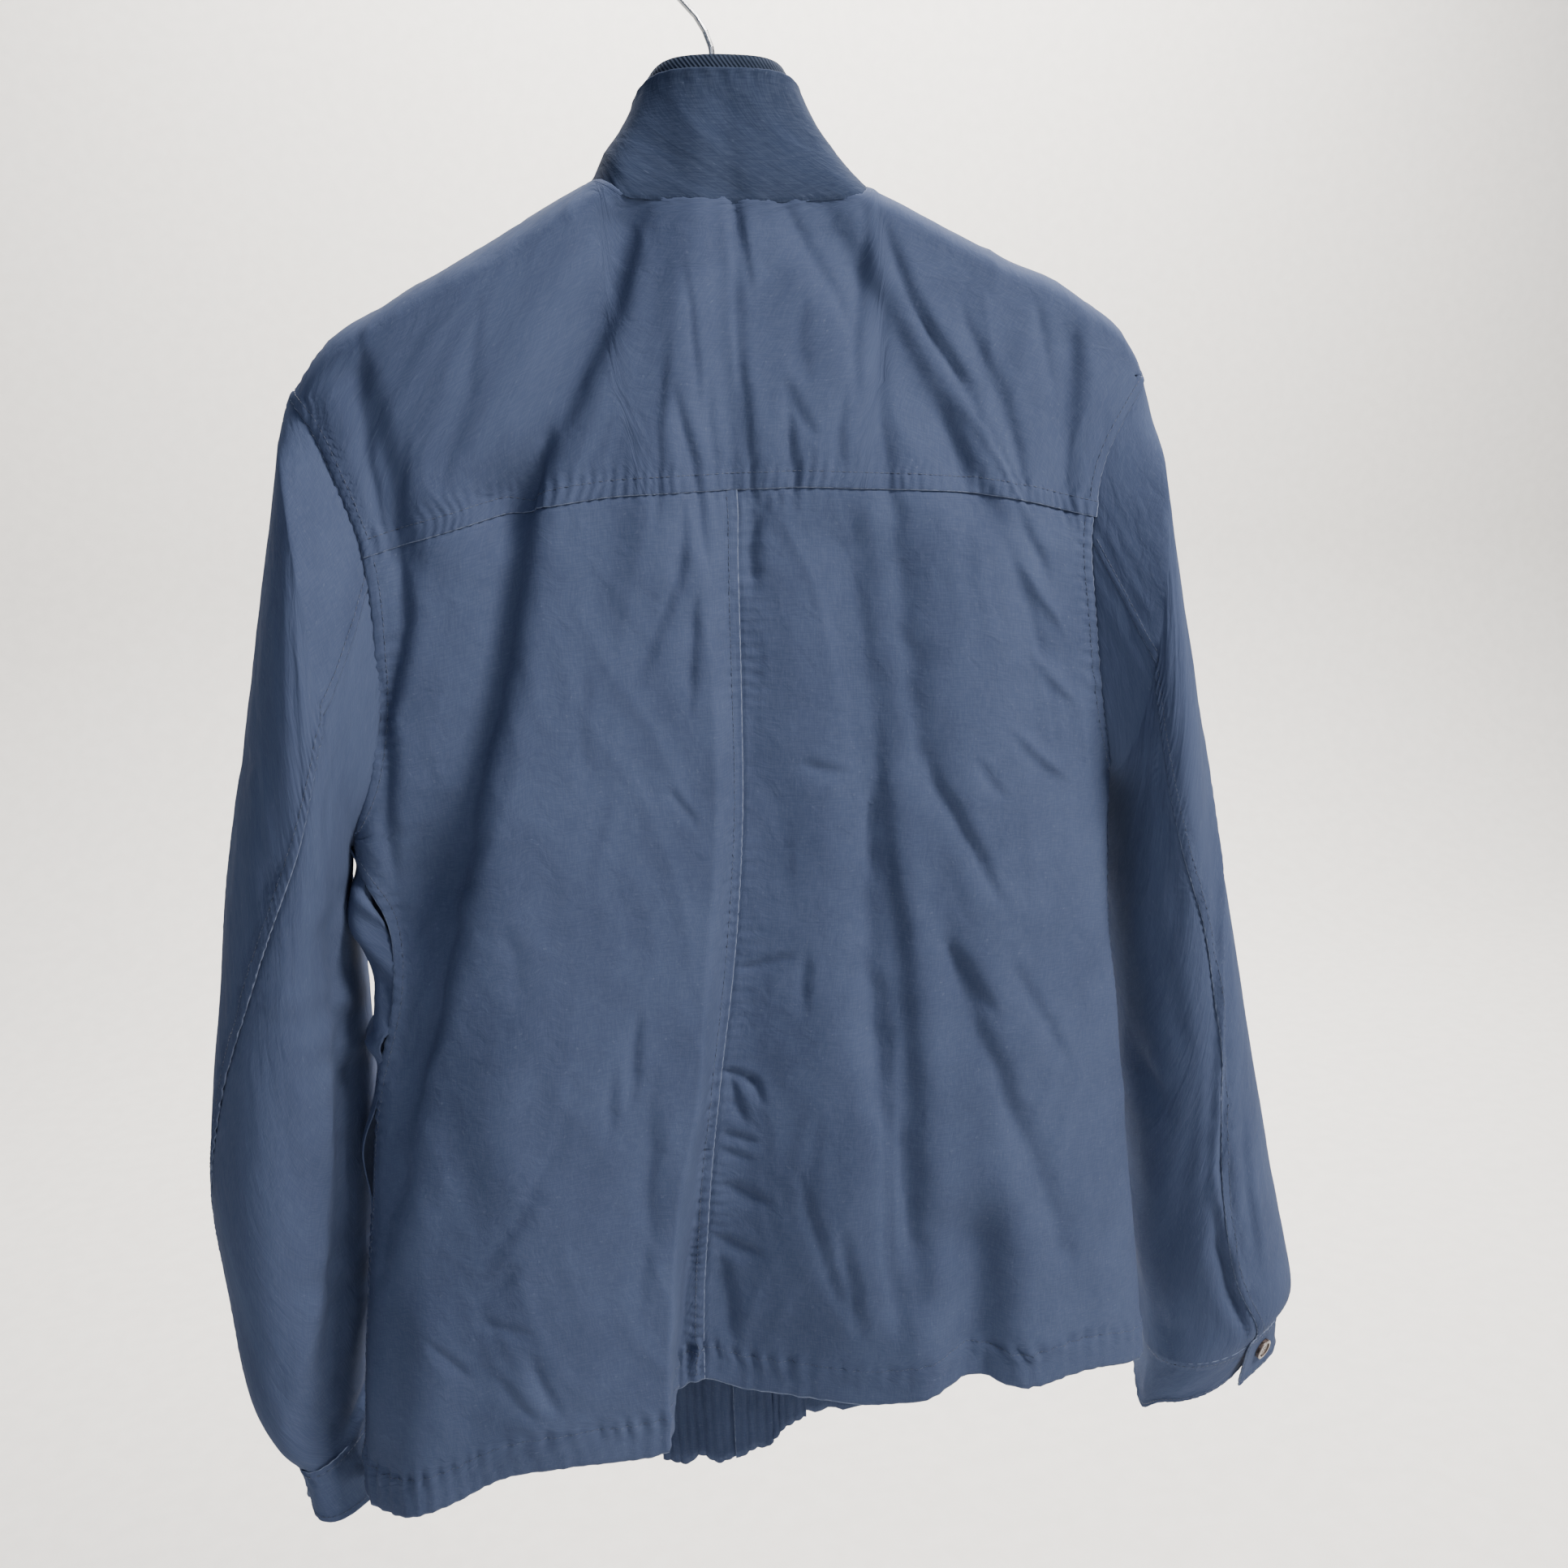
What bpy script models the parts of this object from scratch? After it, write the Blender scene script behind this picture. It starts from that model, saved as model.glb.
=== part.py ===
"""Harrington jacket hung by its shoulders on a wooden hanger with a wire hook.

Metres, +Z up. The origin is the point of the hook that rests on a rail. +X is the wearer's left and +Y
lies behind the wearer's back. Tables are in millimetres, and x falls towards the wearer's right.
"""

import math

import bmesh
import bpy
import numpy as np
from mathutils import Matrix, Vector

MM = 0.001
GROUP = "harrington_jacket"

# Cloth, seams and edges
CLOTH = 1.2 * MM
FACING = 2.0 * MM
SEAM_GAP = 0.3 * MM
YOKE_GAP = 0.6 * MM
SHOULDER_GAP = 1.2 * MM
SLEEVE_GAP = 1.2 * MM
SIDE_GAP = 0.9 * MM
ARMHOLE_GAP = 2.4 * MM
COLLAR_GAP = 0.9 * MM
CUFF_GAP = 1.0 * MM
FRONT_OPENING = 5.0 * MM
SECTION_POWER = 3.0
SHOULDER_ROUNDING = 16 * MM
SHOULDER_SEAM_DROP = 4 * MM
BODY_ROWS = 17

# Neck and collar
NECK_HALF_WIDTH = 82 * MM
NECK_COLUMNS = 6
YOKE_NECK_SHARES = (0.13, 0.4, 0.65, 0.8, 0.87, 0.92, 0.96)
NECK_MIDDLE_X = -6 * MM
NECK_BACK_Z = -146 * MM
NECK_FRONT_Z = -212 * MM
COLLAR_FACING_RISE = 7 * MM
COLLAR_CLEARANCE = 2.2 * MM
COLLAR_HOLLOW = 2.5 * MM
COLLAR_TOP = {"half_width": 46 * MM, "back_y": 28 * MM, "front_y": -84 * MM, "middle_x": 0 * MM}
COLLAR_TOP_Z = {"back": -83 * MM, "front": -150 * MM}

# Sleeve ends
CUFF_HEIGHT = 40 * MM
CUFF_WALL = 2.2 * MM
CUFF_LAP = 24 * MM
CUFF_LAP_STEP = 3.0 * MM
CUFF_FLARE = 2.0 * MM
CUFF_LEAN = {"left": (-7 * MM, 0.0), "right": (-2 * MM, -17 * MM)}
CUFF_RISE = {"left": 0.25, "right": 0.17}
BUTTON_RADIUS = 7.5 * MM
BUTTON_THICKNESS = 3.0 * MM

# Zip, from the neck to the hem: tapes behind the fronts' edges and the closed chain between them
FRONT_MIDDLE_X = {"neck": -6 * MM, "hem": 12 * MM}
ZIP_TOP_Z = -222 * MM
TAPE = {"start": 3.3 * MM, "width": 14 * MM, "inset": 1.9 * MM, "wall": 0.9 * MM}
CHAIN = {"start": -3.0 * MM, "width": 6.0 * MM, "inset": 1.3 * MM, "wall": 2.2 * MM}
FRONT_FACING = {"start": 6.5 * MM, "width": 46 * MM, "inset": 3.7 * MM, "wall": 2.0 * MM}
SLIDER_WIDTH = 8.8 * MM
SLIDER_LENGTH = 13 * MM
SLIDER_PLATE = 1.4 * MM
SLIDER_ROOM = 3.2 * MM
BRIDGE = {"width": 2.2 * MM, "length": 8.0 * MM, "height": 4.1 * MM, "wall": 1.0 * MM}
PULL = {"width": 8.0 * MM, "length": 26 * MM, "thickness": 1.6 * MM, "window": 6.0 * MM}
BOX_SIZE = (6.0 * MM, 3.4 * MM, 9.0 * MM)

# Hanger
WIRE_RADIUS = 1.6 * MM
HOOK_RADIUS = 25.4 * MM
HANGER_HALF_LENGTH = 195 * MM
HANGER_THICKNESS = 12 * MM
HANGER_HEIGHT = 17 * MM
HANGER_CLEARANCE = 5.2 * MM


def table(columns, *rows):
    """Named columns of a table of sizes, turned from millimetres into metres."""
    return dict(zip(columns.split(), np.array(rows, dtype=float).T * MM))


# The shoulder line, seen from behind.
SHOULDER = table(
    "x z",
    (-244, -240),
    (-230, -217),
    (-202, -196),
    (-140, -167),
    (-80, -138),
    (0, -112),
    (80, -140),
    (130, -169),
    (180, -195),
    (212, -215),
    (232, -240),
)

# Level sections of the body: its half widths, and how far back, side and front lie from the hanger.
BODY = table(
    "z left right back side front",
    (-100, 233, 245, 34, 0, -26),
    (-146, 233, 245, 36, 0, -30),
    (-240, 233, 245, 46, 2, -42),
    (-322, 228, 238, 51, 6, -50),
    (-400, 222, 229, 56, 12, -54),
    (-472, 221, 223, 60, 14, -56),
    (-560, 218, 224, 65, 15, -55),
    (-640, 224, 233, 69, 14, -52),
    (-709, 233, 241, 71, 13, -48),
    (-816, 246, 252, 72, 12, -40),
    (-902, 253, 261, 70, 10, -32),
    (-940, 255, 264, 70, 10, -30),
)

# Where the back's outer edge runs: the armhole down to the armpit, then the side seam.
BACK_EDGE = table(
    "z left right",
    (-240, 232, 244),
    (-256, 222, 230),
    (-280, 213, 213),
    (-322, 201, 203),
    (-378, 200, 206),
    (-409, 203, 209),
    (-440, 209, 214),
    (-472, 221, 223),
)

# The front's armhole is cut a little deeper than the back's.
FRONT_EDGE = table(
    "z left right",
    (-240, 230, 242),
    (-256, 218, 226),
    (-280, 209, 210),
    (-322, 197, 199),
    (-378, 195, 200),
    (-409, 199, 205),
    (-440, 207, 212),
    (-472, 221, 223),
)
ARMPIT_Z = -472 * MM

# How far the side seam is drawn round onto the back below each armpit.
SIDE_SEAM_PULL = table(
    "z left right",
    (-472, 0, 0),
    (-520, 26, 6),
    (-565, 26, 5),
    (-612, 13, 2),
    (-655, 0, 0),
)

# Seams and edges that run across: the yoke seam and the hem of the back and of the front.
ACROSS = table(
    "x yoke back_hem front_hem",
    (-262, -332, -879, -879),
    (-203, -318, -861, -898),
    (-150, -305, -857, -912),
    (-127, -301, -851, -918),
    (-94, -298, -856, -924),
    (-62, -296, -860, -927),
    (-30, -294, -859, -922),
    (-2, -294, -858, -938),
    (18, -294, -856, -943),
    (41, -294, -847, -942),
    (75, -295, -857, -934),
    (130, -303, -855, -924),
    (168, -312, -857, -914),
    (200, -321, -871, -905),
    (256, -336, -888, -888),
)

# The centre back seam and the deep fold of the left back that falls beside it and over it.
CENTRE_FOLD = table(
    "z seam foot crest depth spread",
    (-295, 5, 14, 34, 5, 30),
    (-334, 6, 12, 27, 8, 34),
    (-403, 7, 12, 23, 11, 40),
    (-475, 9, 14, 25, 14, 46),
    (-560, 17, 23, 35, 18, 52),
    (-635, 28, 34, 44, 22, 56),
    (-686, 34, 42, 55, 27, 62),
    (-725, 37, 48, 60, 33, 68),
    (-777, 40, 55, 66, 42, 76),
    (-840, 41, 60, 70, 50, 86),
    (-880, 41, 62, 72, 50, 86),
)

# Folds of the back, from one end to the other: bow, half width and height (a trough is negative).
BACK_FOLDS = table(
    "x0 z0 x1 z1 bow width height",
    (52, -165, 112, -300, 4, 13, -9),
    (112, -300, 178, -520, 8, 17, -13),
    (172, -505, 240, -780, 0, 20, -12),
    (20, -160, 60, -330, 0, 18, 5),
    (140, -330, 150, -800, 0, 34, 7),
    (-2, -150, 4, -292, 0, 7, -4),
    (-60, -165, -135, -300, 2, 12, -6),
    (-62, -330, -96, -780, 3, 14, -7),
    (-110, -330, -150, -850, 6, 28, 6),
    (190, -230, 176, -315, 0, 9, -5),
    (-192, -225, -188, -310, 0, 9, -5),
    (-136, -760, -139, -880, 0, 22, -14),
    (-92, -780, -92, -880, 0, 18, 6),
    (206, -760, 226, -890, 0, 18, 7),
)

# Folds of the front, which hang from the shoulders and the ends of the hanger.
FRONT_FOLDS = table(
    "x0 z0 x1 z1 bow width height",
    (92, -190, 140, -470, 4, 16, -8),
    (-96, -190, -146, -480, -4, 16, -8),
    (140, -470, 120, -880, 0, 24, -9),
    (-150, -470, -128, -880, 0, 26, -10),
    (180, -300, 190, -600, 0, 18, 6),
    (-186, -300, -196, -600, 0, 18, 6),
    (60, -420, 66, -900, 0, 20, 7),
    (-58, -420, -70, -900, 0, 20, 7),
    (206, -640, 214, -880, 0, 16, -6),
    (-208, -640, -220, -880, 0, 16, -6),
)

# Rings of each sleeve from the armhole to the cuff: the ring's middle, half the way from its inner to its
# outer edge (half across, rise up), half its depth front to back, and its turn (degrees, back inwards).
SLEEVE_COLUMNS = "x z half rise y depth turn"
SLEEVE_LEFT = (
    (230, -370, 9, 108, 8, 54, 0),
    (235, -391, 12, 91, 5, 62, 0),
    (241, -419, 17, 73, 0, 69, 0),
    (248, -456, 23, 52, -7, 74, 0),
    (256, -510, 32, 32, -13, 72, -4),
    (262, -568, 38, 20, -17, 68, -8),
    (269, -630, 43, 12, -20, 65, -12),
    (276, -696, 45, 6, -23, 63, -14),
    (278, -761, 40.5, 1, -25, 60, -15),
    (279.5, -812, 33.5, -3, -26, 57, -17),
    (275, -845, 25, -5, -26, 52, -19),
    (268.8, -866, 18.8, -4, -24, 43, -20),
)
SLEEVE_RIGHT = (
    (235.5, -371, 9.5, 107, 8, 54, 0),
    (239.5, -393, 10.5, 90, 5, 62, 0),
    (245, -421, 13.5, 71, 0, 69, 2),
    (254.5, -460, 21, 48, -7, 74, 6),
    (266, -511, 29, 31, -13, 72, 8),
    (280, -569, 36, 19, -17, 68, 10),
    (293.5, -633, 41, 9, -20, 65, 14),
    (306.5, -701, 45.5, 3, -23, 63, 20),
    (319.5, -769, 48.5, -1, -24, 60, 28),
    (329, -828, 53.5, -1, -24, 57, 36),
    (334, -868, 53, 2, -22, 54, 46),
    (327, -895, 40, 7, -18, 50, 58),
)
# The back and front seams of the sleeves: angles round the rings from their outer edge, in degrees.
SLEEVE_SEAMS = {
    "row": np.arange(13.0),
    "left": np.radians([77, 99, 110, 108, 100, 86, 72, 52, 32, 24, 22, 22, 24]),
    "right": np.radians([77, 106, 114, 116, 113, 104, 97, 94, 92, 86, 70, 42, 8]),
    "front_left": np.radians([252, 252, 252, 252, 252, 252, 250, 248, 246, 246, 246, 246, 246]),
    "front_right": np.radians([252, 252, 252, 252, 252, 252, 250, 248, 244, 238, 226, 208, 188]),
}
SLEEVES = {"left": np.array(SLEEVE_LEFT, float), "right": np.array(SLEEVE_RIGHT, float)}
SLIT_START = 10.2
SLIT_WIDTH = {"left": 1 * MM, "right": 8 * MM}


def smooth(at, xs, ys):
    """A smooth curve through points, level beyond both ends: cubic pieces with shared slopes."""
    order = np.argsort(xs)
    xs, ys = xs[order], ys[order]
    slope = np.gradient(ys, xs)
    at = np.clip(at, xs[0], xs[-1])
    i = np.clip(np.searchsorted(xs, at) - 1, 0, len(xs) - 2)
    step = xs[i + 1] - xs[i]
    t = (at - xs[i]) / step
    start = ys[i] * (1 + 2 * t) * (1 - t) ** 2 + slope[i] * step * t * (1 - t) ** 2
    end = ys[i + 1] * (3 - 2 * t) * t**2 - slope[i + 1] * step * (1 - t) * t**2
    return start + end


def ease(at, start, end):
    """0 before start, 1 after end, and an even S between them."""
    t = np.clip((at - start) / (end - start), 0, 1)
    return t * t * (3 - 2 * t)


def section_curve():
    """Half a level section of the body by its length: how far across and how far back it has come."""
    angle = np.linspace(0, math.pi / 2, 721)
    across = np.sin(angle) ** (2 / SECTION_POWER)
    deep = np.cos(angle) ** (2 / SECTION_POWER)
    run = np.hypot(np.diff(across) * 230, np.diff(deep) * 50)
    length = np.concatenate([[0], np.cumsum(run)])
    return length / length[-1], across, deep


SECTION_RUN, SECTION_ACROSS, SECTION_DEEP = section_curve()


def half_width(z, side):
    return smooth(z, BODY["z"], BODY[side])


def shoulder_z(x):
    return smooth(x, SHOULDER["x"], SHOULDER["z"])


def edge_run(z, side, edge):
    """Where an armhole edge, or the side seam below it, cuts the section: 1 is the body's side."""
    share = np.minimum(smooth(z, edge["z"], edge[side]) / half_width(z, side), 1)
    run = np.interp(share, SECTION_ACROSS, SECTION_RUN)
    return np.where(z < ARMPIT_Z, 1, run)


def seam_pull(z, side):
    """How far the side seam lies round on the back, as a share of the half section."""
    pull = smooth(z, SIDE_SEAM_PULL["z"], SIDE_SEAM_PULL[side])
    return np.where(z < ARMPIT_Z, pull, 0) / half_width(z, side)


def folds(x, z, rows):
    """The height of all the folds of a table at x, z: each a soft ridge along a bowed line."""
    height = np.zeros_like(x)
    for x0, z0, x1, z1, bow, width, tall in zip(*(rows[name] for name in rows)):
        dx, dz = x1 - x0, z1 - z0
        length = math.hypot(dx, dz)
        along = ((x - x0) * dx + (z - z0) * dz) / length**2
        across = ((x - x0) * dz - (z - z0) * dx) / length
        inside = np.clip(along, 0, 1)
        across = across - bow * 4 * inside * (1 - inside)
        fade = np.exp(-(((along - inside) * length / (1.5 * width)) ** 2))
        height += tall * fade * np.exp(-((across / width) ** 2))
    return height


def centre_fold(x, z):
    """How far the centre back sinks at its seam: a steep wall to the left and a long slope to the right."""
    columns = list(CENTRE_FOLD)[1:]
    seam, foot, crest, depth, spread = (smooth(z, CENTRE_FOLD["z"], CENTRE_FOLD[c]) for c in columns)
    wall = ease(x, foot - 0.3 * (crest - foot), crest + 0.3 * (crest - foot))
    slope = 1 - np.exp(-((np.minimum(x - seam, 0) / spread) ** 2))
    fade = ease(-z, 0.24, 0.31)
    return -depth * fade * np.where(x > seam, 1 - wall, 1 - slope)


def nose(drop):
    """How far the cloth has left the hanger's plane, at some depth below the shoulder line."""
    return np.sqrt(1 - (1 - np.clip(drop / SHOULDER_ROUNDING, 0, 1)) ** 2)


def back_point(x, z, deep):
    """A point of the back: its side lies at half width, its middle is deepest, and folds lie on it."""
    level, side = smooth(z, BODY["z"], BODY["back"]), smooth(z, BODY["z"], BODY["side"])
    drop = shoulder_z(x) - z
    y = (side + (level - side) * deep) * nose(drop)
    relief = folds(x, z, BACK_FOLDS) + centre_fold(x, z)
    return np.stack([x, y + relief * np.minimum(deep * 1.6, 1) * ease(drop, 0, 0.03), z], -1)


def front_point(x, z, deep):
    """A point of the front, which lies as far forward as the back lies backward."""
    level, side = smooth(z, BODY["z"], BODY["front"]), smooth(z, BODY["z"], BODY["side"])
    drop = shoulder_z(x) - z
    y = (side + (level - side) * deep) * nose(drop)
    relief = folds(x, z, FRONT_FOLDS)
    return np.stack([x, y - relief * np.minimum(deep * 1.6, 1) * ease(drop, 0, 0.03), z], -1)


def neck_start(x):
    """How far below the shoulder line the yoke starts: at the neck seam, or just over the ridge."""
    share = np.abs(x - NECK_MIDDLE_X) / NECK_HALF_WIDTH
    neck = shoulder_z(x) - (NECK_BACK_Z + 5 * MM * share**2)
    over = ease(share, 0.75, 1)
    return neck * (1 - over) - SHOULDER_SEAM_DROP * over


def front_start(x):
    """The height at which a front starts: the neck's quarter oval, then the shoulder seam."""
    seam = shoulder_z(x) - SHOULDER_SEAM_DROP - SHOULDER_GAP
    share = np.clip(np.abs(x - NECK_MIDDLE_X) / NECK_HALF_WIDTH, 0, 1)
    corner = NECK_MIDDLE_X + np.copysign(NECK_HALF_WIDTH, x - NECK_MIDDLE_X)
    rise = shoulder_z(corner) - SHOULDER_SEAM_DROP - SHOULDER_GAP - NECK_FRONT_Z
    return np.where(share < 1, NECK_FRONT_Z + rise * (1 - np.sqrt(1 - share**2)), seam)


def place_on_section(run, z, side):
    """Across and depth on the section at a run from 0, the middle, to 1, the side of the body."""
    across = np.interp(run, SECTION_RUN, SECTION_ACROSS) * half_width(z, side)
    return across, np.interp(run, SECTION_RUN, SECTION_DEEP)


def neck_share(side, edge, opening=0.0):
    """The share of the way to the armhole edge at which the neck seam meets the shoulder seam."""
    corner = NECK_MIDDLE_X + (1 if side == "left" else -1) * NECK_HALF_WIDTH
    z = shoulder_z(corner)
    width = half_width(z, side)
    across = (np.abs(corner) - opening) / (width - opening)
    return float(np.interp(across, SECTION_ACROSS, SECTION_RUN) / edge_run(z, side, edge))


def spread(start, end, count):
    """Shares from start to end that lie closer together towards the end, with a narrow last one."""
    even = np.linspace(0, 1, count - 1)
    near = start + (end - start) * 0.975 * (0.6 * even + 0.4 * np.sin(even * math.pi / 2))
    return np.append(near, end)


def yoke_grid(neck_shares, side_columns, rows):
    """The yoke, from the neck and the shoulder seams down to the yoke seam."""
    left, right = neck_share("left", BACK_EDGE), neck_share("right", BACK_EDGE)
    neck = np.concatenate([-np.array(neck_shares)[::-1], neck_shares])
    past = [-spread(right, 1, side_columns)[::-1], neck * (left + right) / 2 + (left - right) / 2]
    share = np.concatenate([*past, spread(left, 1, side_columns)])[None, :]
    down = (np.linspace(0, 1, rows) ** 1.7)[:, None]
    z = -0.2 - 0.1 * down + 0 * share
    for _ in range(12):
        edge = np.where(share > 0, edge_run(z, "left", BACK_EDGE), edge_run(z, "right", BACK_EDGE))
        x_left, deep_left = place_on_section(np.abs(share) * edge, z, "left")
        x_right, deep_right = place_on_section(np.abs(share) * edge, z, "right")
        x = np.where(share > 0, x_left, -x_right)
        start = neck_start(x)
        end = shoulder_z(x) - smooth(x, ACROSS["x"], ACROSS["yoke"]) - YOKE_GAP / 2
        drop = start + (end - start) * down
        z = 0.4 * z + 0.6 * (shoulder_z(x) - np.abs(drop))
    points = back_point(x, z, np.where(share > 0, deep_left, deep_right))
    over = smooth(z, BODY["z"], BODY["front"]) * np.where(share > 0, deep_left, deep_right) * nose(-drop)
    points[..., 1] = np.where(drop < 0, over, points[..., 1])
    return points


def back_panel_grid(side, columns, rows):
    """A lower back, from the centre seam to its armhole and side seam, and from the yoke to the hem."""
    sign = 1 if side == "left" else -1
    share = columns[None, :]
    down = np.linspace(0, 1, rows)[:, None]
    z = -0.3 - 0.57 * down + 0 * share
    for _ in range(14):
        seam = smooth(z, CENTRE_FOLD["z"], CENTRE_FOLD["seam"]) + sign * SEAM_GAP / 2
        width = half_width(z, side)
        end = edge_run(z, side, BACK_EDGE)
        run = share * (end - seam_pull(z, side))
        across, deep = place_on_section(run, z, side)
        x = sign * across + seam * (1 - across / width)
        top = smooth(x, ACROSS["x"], ACROSS["yoke"]) - YOKE_GAP / 2
        bottom = smooth(x, ACROSS["x"], ACROSS["back_hem"])
        z = 0.5 * z + 0.5 * (top + (bottom - top) * down)
    return back_point(x, z, deep)


def front_middle(z):
    """Where the fronts meet: the zip's line drifts to the wearer's left on its way down."""
    return FRONT_MIDDLE_X["neck"] + (FRONT_MIDDLE_X["hem"] - FRONT_MIDDLE_X["neck"]) * ease(-z, 0.2, 0.95)


def front_grid(side, neck_columns, side_columns, rows):
    """A front, from its opening edge to its armhole and round to the side seam, and from neck to hem."""
    sign = 1 if side == "left" else -1
    corner = neck_share(side, FRONT_EDGE, FRONT_OPENING + sign * FRONT_MIDDLE_X["neck"])
    neck = np.linspace(0, corner, neck_columns)[:-1]
    share = np.concatenate([neck, spread(corner, 1, side_columns)])[None, :]
    seam = back_panel_grid(side, np.array([0.0, 1.0]), rows[1])[:, -1, 2]
    armhole = np.linspace(FRONT_EDGE["z"][0] - 4 * MM, seam[0], rows[0])[:-1]
    edge_z = np.concatenate([armhole, seam])[:, None]
    z = edge_z + 0 * share
    for _ in range(20):
        end = edge_run(z, side, FRONT_EDGE) + seam_pull(z, side)
        run = share * (end - SIDE_GAP / half_width(z, side) * (z < ARMPIT_Z))
        across, deep = place_on_section(np.where(run > 1, 2 - run, run), z, side)
        edge = front_middle(z) + sign * FRONT_OPENING
        x = sign * across + edge * (1 - across / half_width(z, side))
        outside = NECK_MIDDLE_X + sign * np.maximum(np.abs(x - NECK_MIDDLE_X), NECK_HALF_WIDTH)
        level = shoulder_z(outside) - SHOULDER_SEAM_DROP - SHOULDER_GAP
        bottom = smooth(x, ACROSS["x"], ACROSS["front_hem"])
        down = (edge_z - level[:, -1:]) / (bottom[:, -1:] - level[:, -1:])
        down = (down - down[:1]) / (down[-1:] - down[:1])
        neck_drop = (front_start(x) - level) * (1 - down) ** 5
        z = 0.5 * z + 0.5 * (level + (bottom - level) * down + neck_drop)
        z[:, -1:] = edge_z
    round_side = (run > 1)[..., None]
    return np.where(round_side, back_point(x, z, deep), front_point(x, z, deep))


def front_strip(side, place, columns, rows, top=0.0, bottom=0.0):
    """A strip along the fronts' opening, set in behind their outer face: a tape, a facing or the chain."""
    sign = 1 if side == "left" else -1
    out = (place["start"] + place["width"] * np.linspace(0, 1, columns))[None, :]
    down = np.linspace(0, 1, rows)[:, None]
    z = -0.25 - 0.65 * down + 0 * out
    for _ in range(8):
        x = front_middle(z) + sign * out
        start = np.minimum(front_start(x) - 2 * MM, top or 0.0)
        end = smooth(x, ACROSS["x"], ACROSS["front_hem"]) + 2 * MM + bottom
        z = start + (end - start) * down
    across = np.abs(x) / np.where(x > 0, half_width(z, "left"), half_width(z, "right"))
    points = front_point(x, z, np.interp(across, SECTION_ACROSS, SECTION_DEEP))
    return points + np.array([0, place["inset"], 0])


def armhole_ring(side, angle):
    """The armhole loop at angles round it: 0 at the shoulder tip, 90 at the back, 180 at the armpit."""
    sign = 1 if side == "left" else -1
    tip = BACK_EDGE["z"][0]
    z = tip + (ARMPIT_Z + SEAM_GAP - tip) * (1 - np.cos(angle)) / 2
    back_run, front_run = edge_run(z, side, BACK_EDGE), edge_run(z, side, FRONT_EDGE)
    back_across, back_deep = place_on_section(back_run, z, side)
    front_across, front_deep = place_on_section(front_run, z, side)
    back = back_point(sign * back_across, z, back_deep)
    front = front_point(sign * front_across, z, front_deep)
    return np.where((np.sin(angle) > 0)[..., None], back, front)


def oval_ring(side, row, angle):
    """A sleeve ring at a row of its table, which may lie between two rows: an oval in its own plane."""
    rows = SLEEVES[side]
    at = np.arange(1.0, len(rows) + 1)
    x, z, half, rise, y, depth, turn = (smooth(row, at, rows[:, k]) for k in range(7))
    turn = np.radians(turn)
    length = np.hypot(half, rise)
    out = length * np.cos(angle) * np.cos(turn) - depth * np.sin(angle) * np.sin(turn)
    behind = length * np.cos(angle) * np.sin(turn) + depth * np.sin(angle) * np.cos(turn)
    sign = 1 if side == "left" else -1
    return MM * np.stack([sign * (x + out * half / length), y + behind, z + out * rise / length], -1)


def sleeve_point(side, row, angle):
    """A point of a sleeve: its rings grow from the armhole's loop into ovals over the first row."""
    row, angle = np.broadcast_arrays(row, angle)
    loop, first = armhole_ring(side, angle), oval_ring(side, 1.0 + 0 * row, angle)
    way = first - loop
    start = loop + way * (ARMHOLE_GAP / np.maximum(np.linalg.norm(way, axis=-1), ARMHOLE_GAP))[..., None]
    share = np.clip(row, 0, 1)[..., None]
    oval = oval_ring(side, np.maximum(row, 1), angle)
    return np.where(row[..., None] < 1, start + (first - start) * share, oval)


def sleeve_seam(seam, row):
    """The angle of a sleeve's back seam, left or right, or of its front seam, at a row."""
    return smooth(row, SLEEVE_SEAMS["row"], SLEEVE_SEAMS[seam])


def sleeve_grid(side, piece, columns, rows):
    """The top sleeve, round the outside, or the under sleeve, round the body's side of the arm."""
    row = np.append([0, 0.6], np.linspace(1.6, len(SLEEVES[side]), rows - 2))[:, None]
    ends = []
    slit = ease(row, SLIT_START, SLIT_START + 1) * SLIT_WIDTH[side]
    for seam, extra, way in ((side, slit, 1), ("front_" + side, 0 * slit, -1)):
        angle = sleeve_seam(seam, row)
        step = sleeve_point(side, row, angle + 0.02) - sleeve_point(side, row, angle)
        speed = np.linalg.norm(step, axis=-1) / 0.02
        ends.append(angle + (1 if piece == "under" else -1) * way * (SLEEVE_GAP + extra) / 2 / speed)
    back, front = ends
    if piece == "top":
        back, front = front - 2 * math.pi, back
    share = np.concatenate([[0, 0.03], np.linspace(0.12, 0.88, columns - 4), [0.97, 1]])[None, :]
    return sleeve_point(side, row, back + (front - back) * share)


def cuff_point(side, share, down):
    """A point of a cuff, a band that runs once round the sleeve's end and laps outside its own start."""
    last = float(len(SLEEVES[side]))
    lap = CUFF_LAP / (40 * MM)
    angle = sleeve_seam(side, last) + 0.1 - share * (2 * math.pi + lap)
    ring = oval_ring(side, last + 0 * angle, angle)
    middle = oval_ring(side, np.full(2, last), np.array([0, math.pi])).mean(0)
    away = ring - middle
    away[..., 2] = 0
    out = CUFF_LAP_STEP * (1 - ease(share * (2 * math.pi + lap), lap, 2.4 * lap)) + CUFF_FLARE * down
    ring = ring + away / np.linalg.norm(away, axis=-1, keepdims=True) * out[..., None]
    sign = 1 if side == "left" else -1
    aside, back = CUFF_LEAN[side]
    rise = CUFF_RISE[side] * sign * away[..., 0] * down
    fall = CUFF_GAP + math.sqrt(CUFF_HEIGHT**2 - aside**2 - back**2) * down - rise
    return ring + np.stack([sign * aside * down + 0 * out, back * down + 0 * out, -fall], -1)


def cuff_grid(side, columns, rows):
    share, down = np.meshgrid(np.linspace(0, 1, columns), np.linspace(0, 1, rows))
    return cuff_point(side, share, down)


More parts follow.
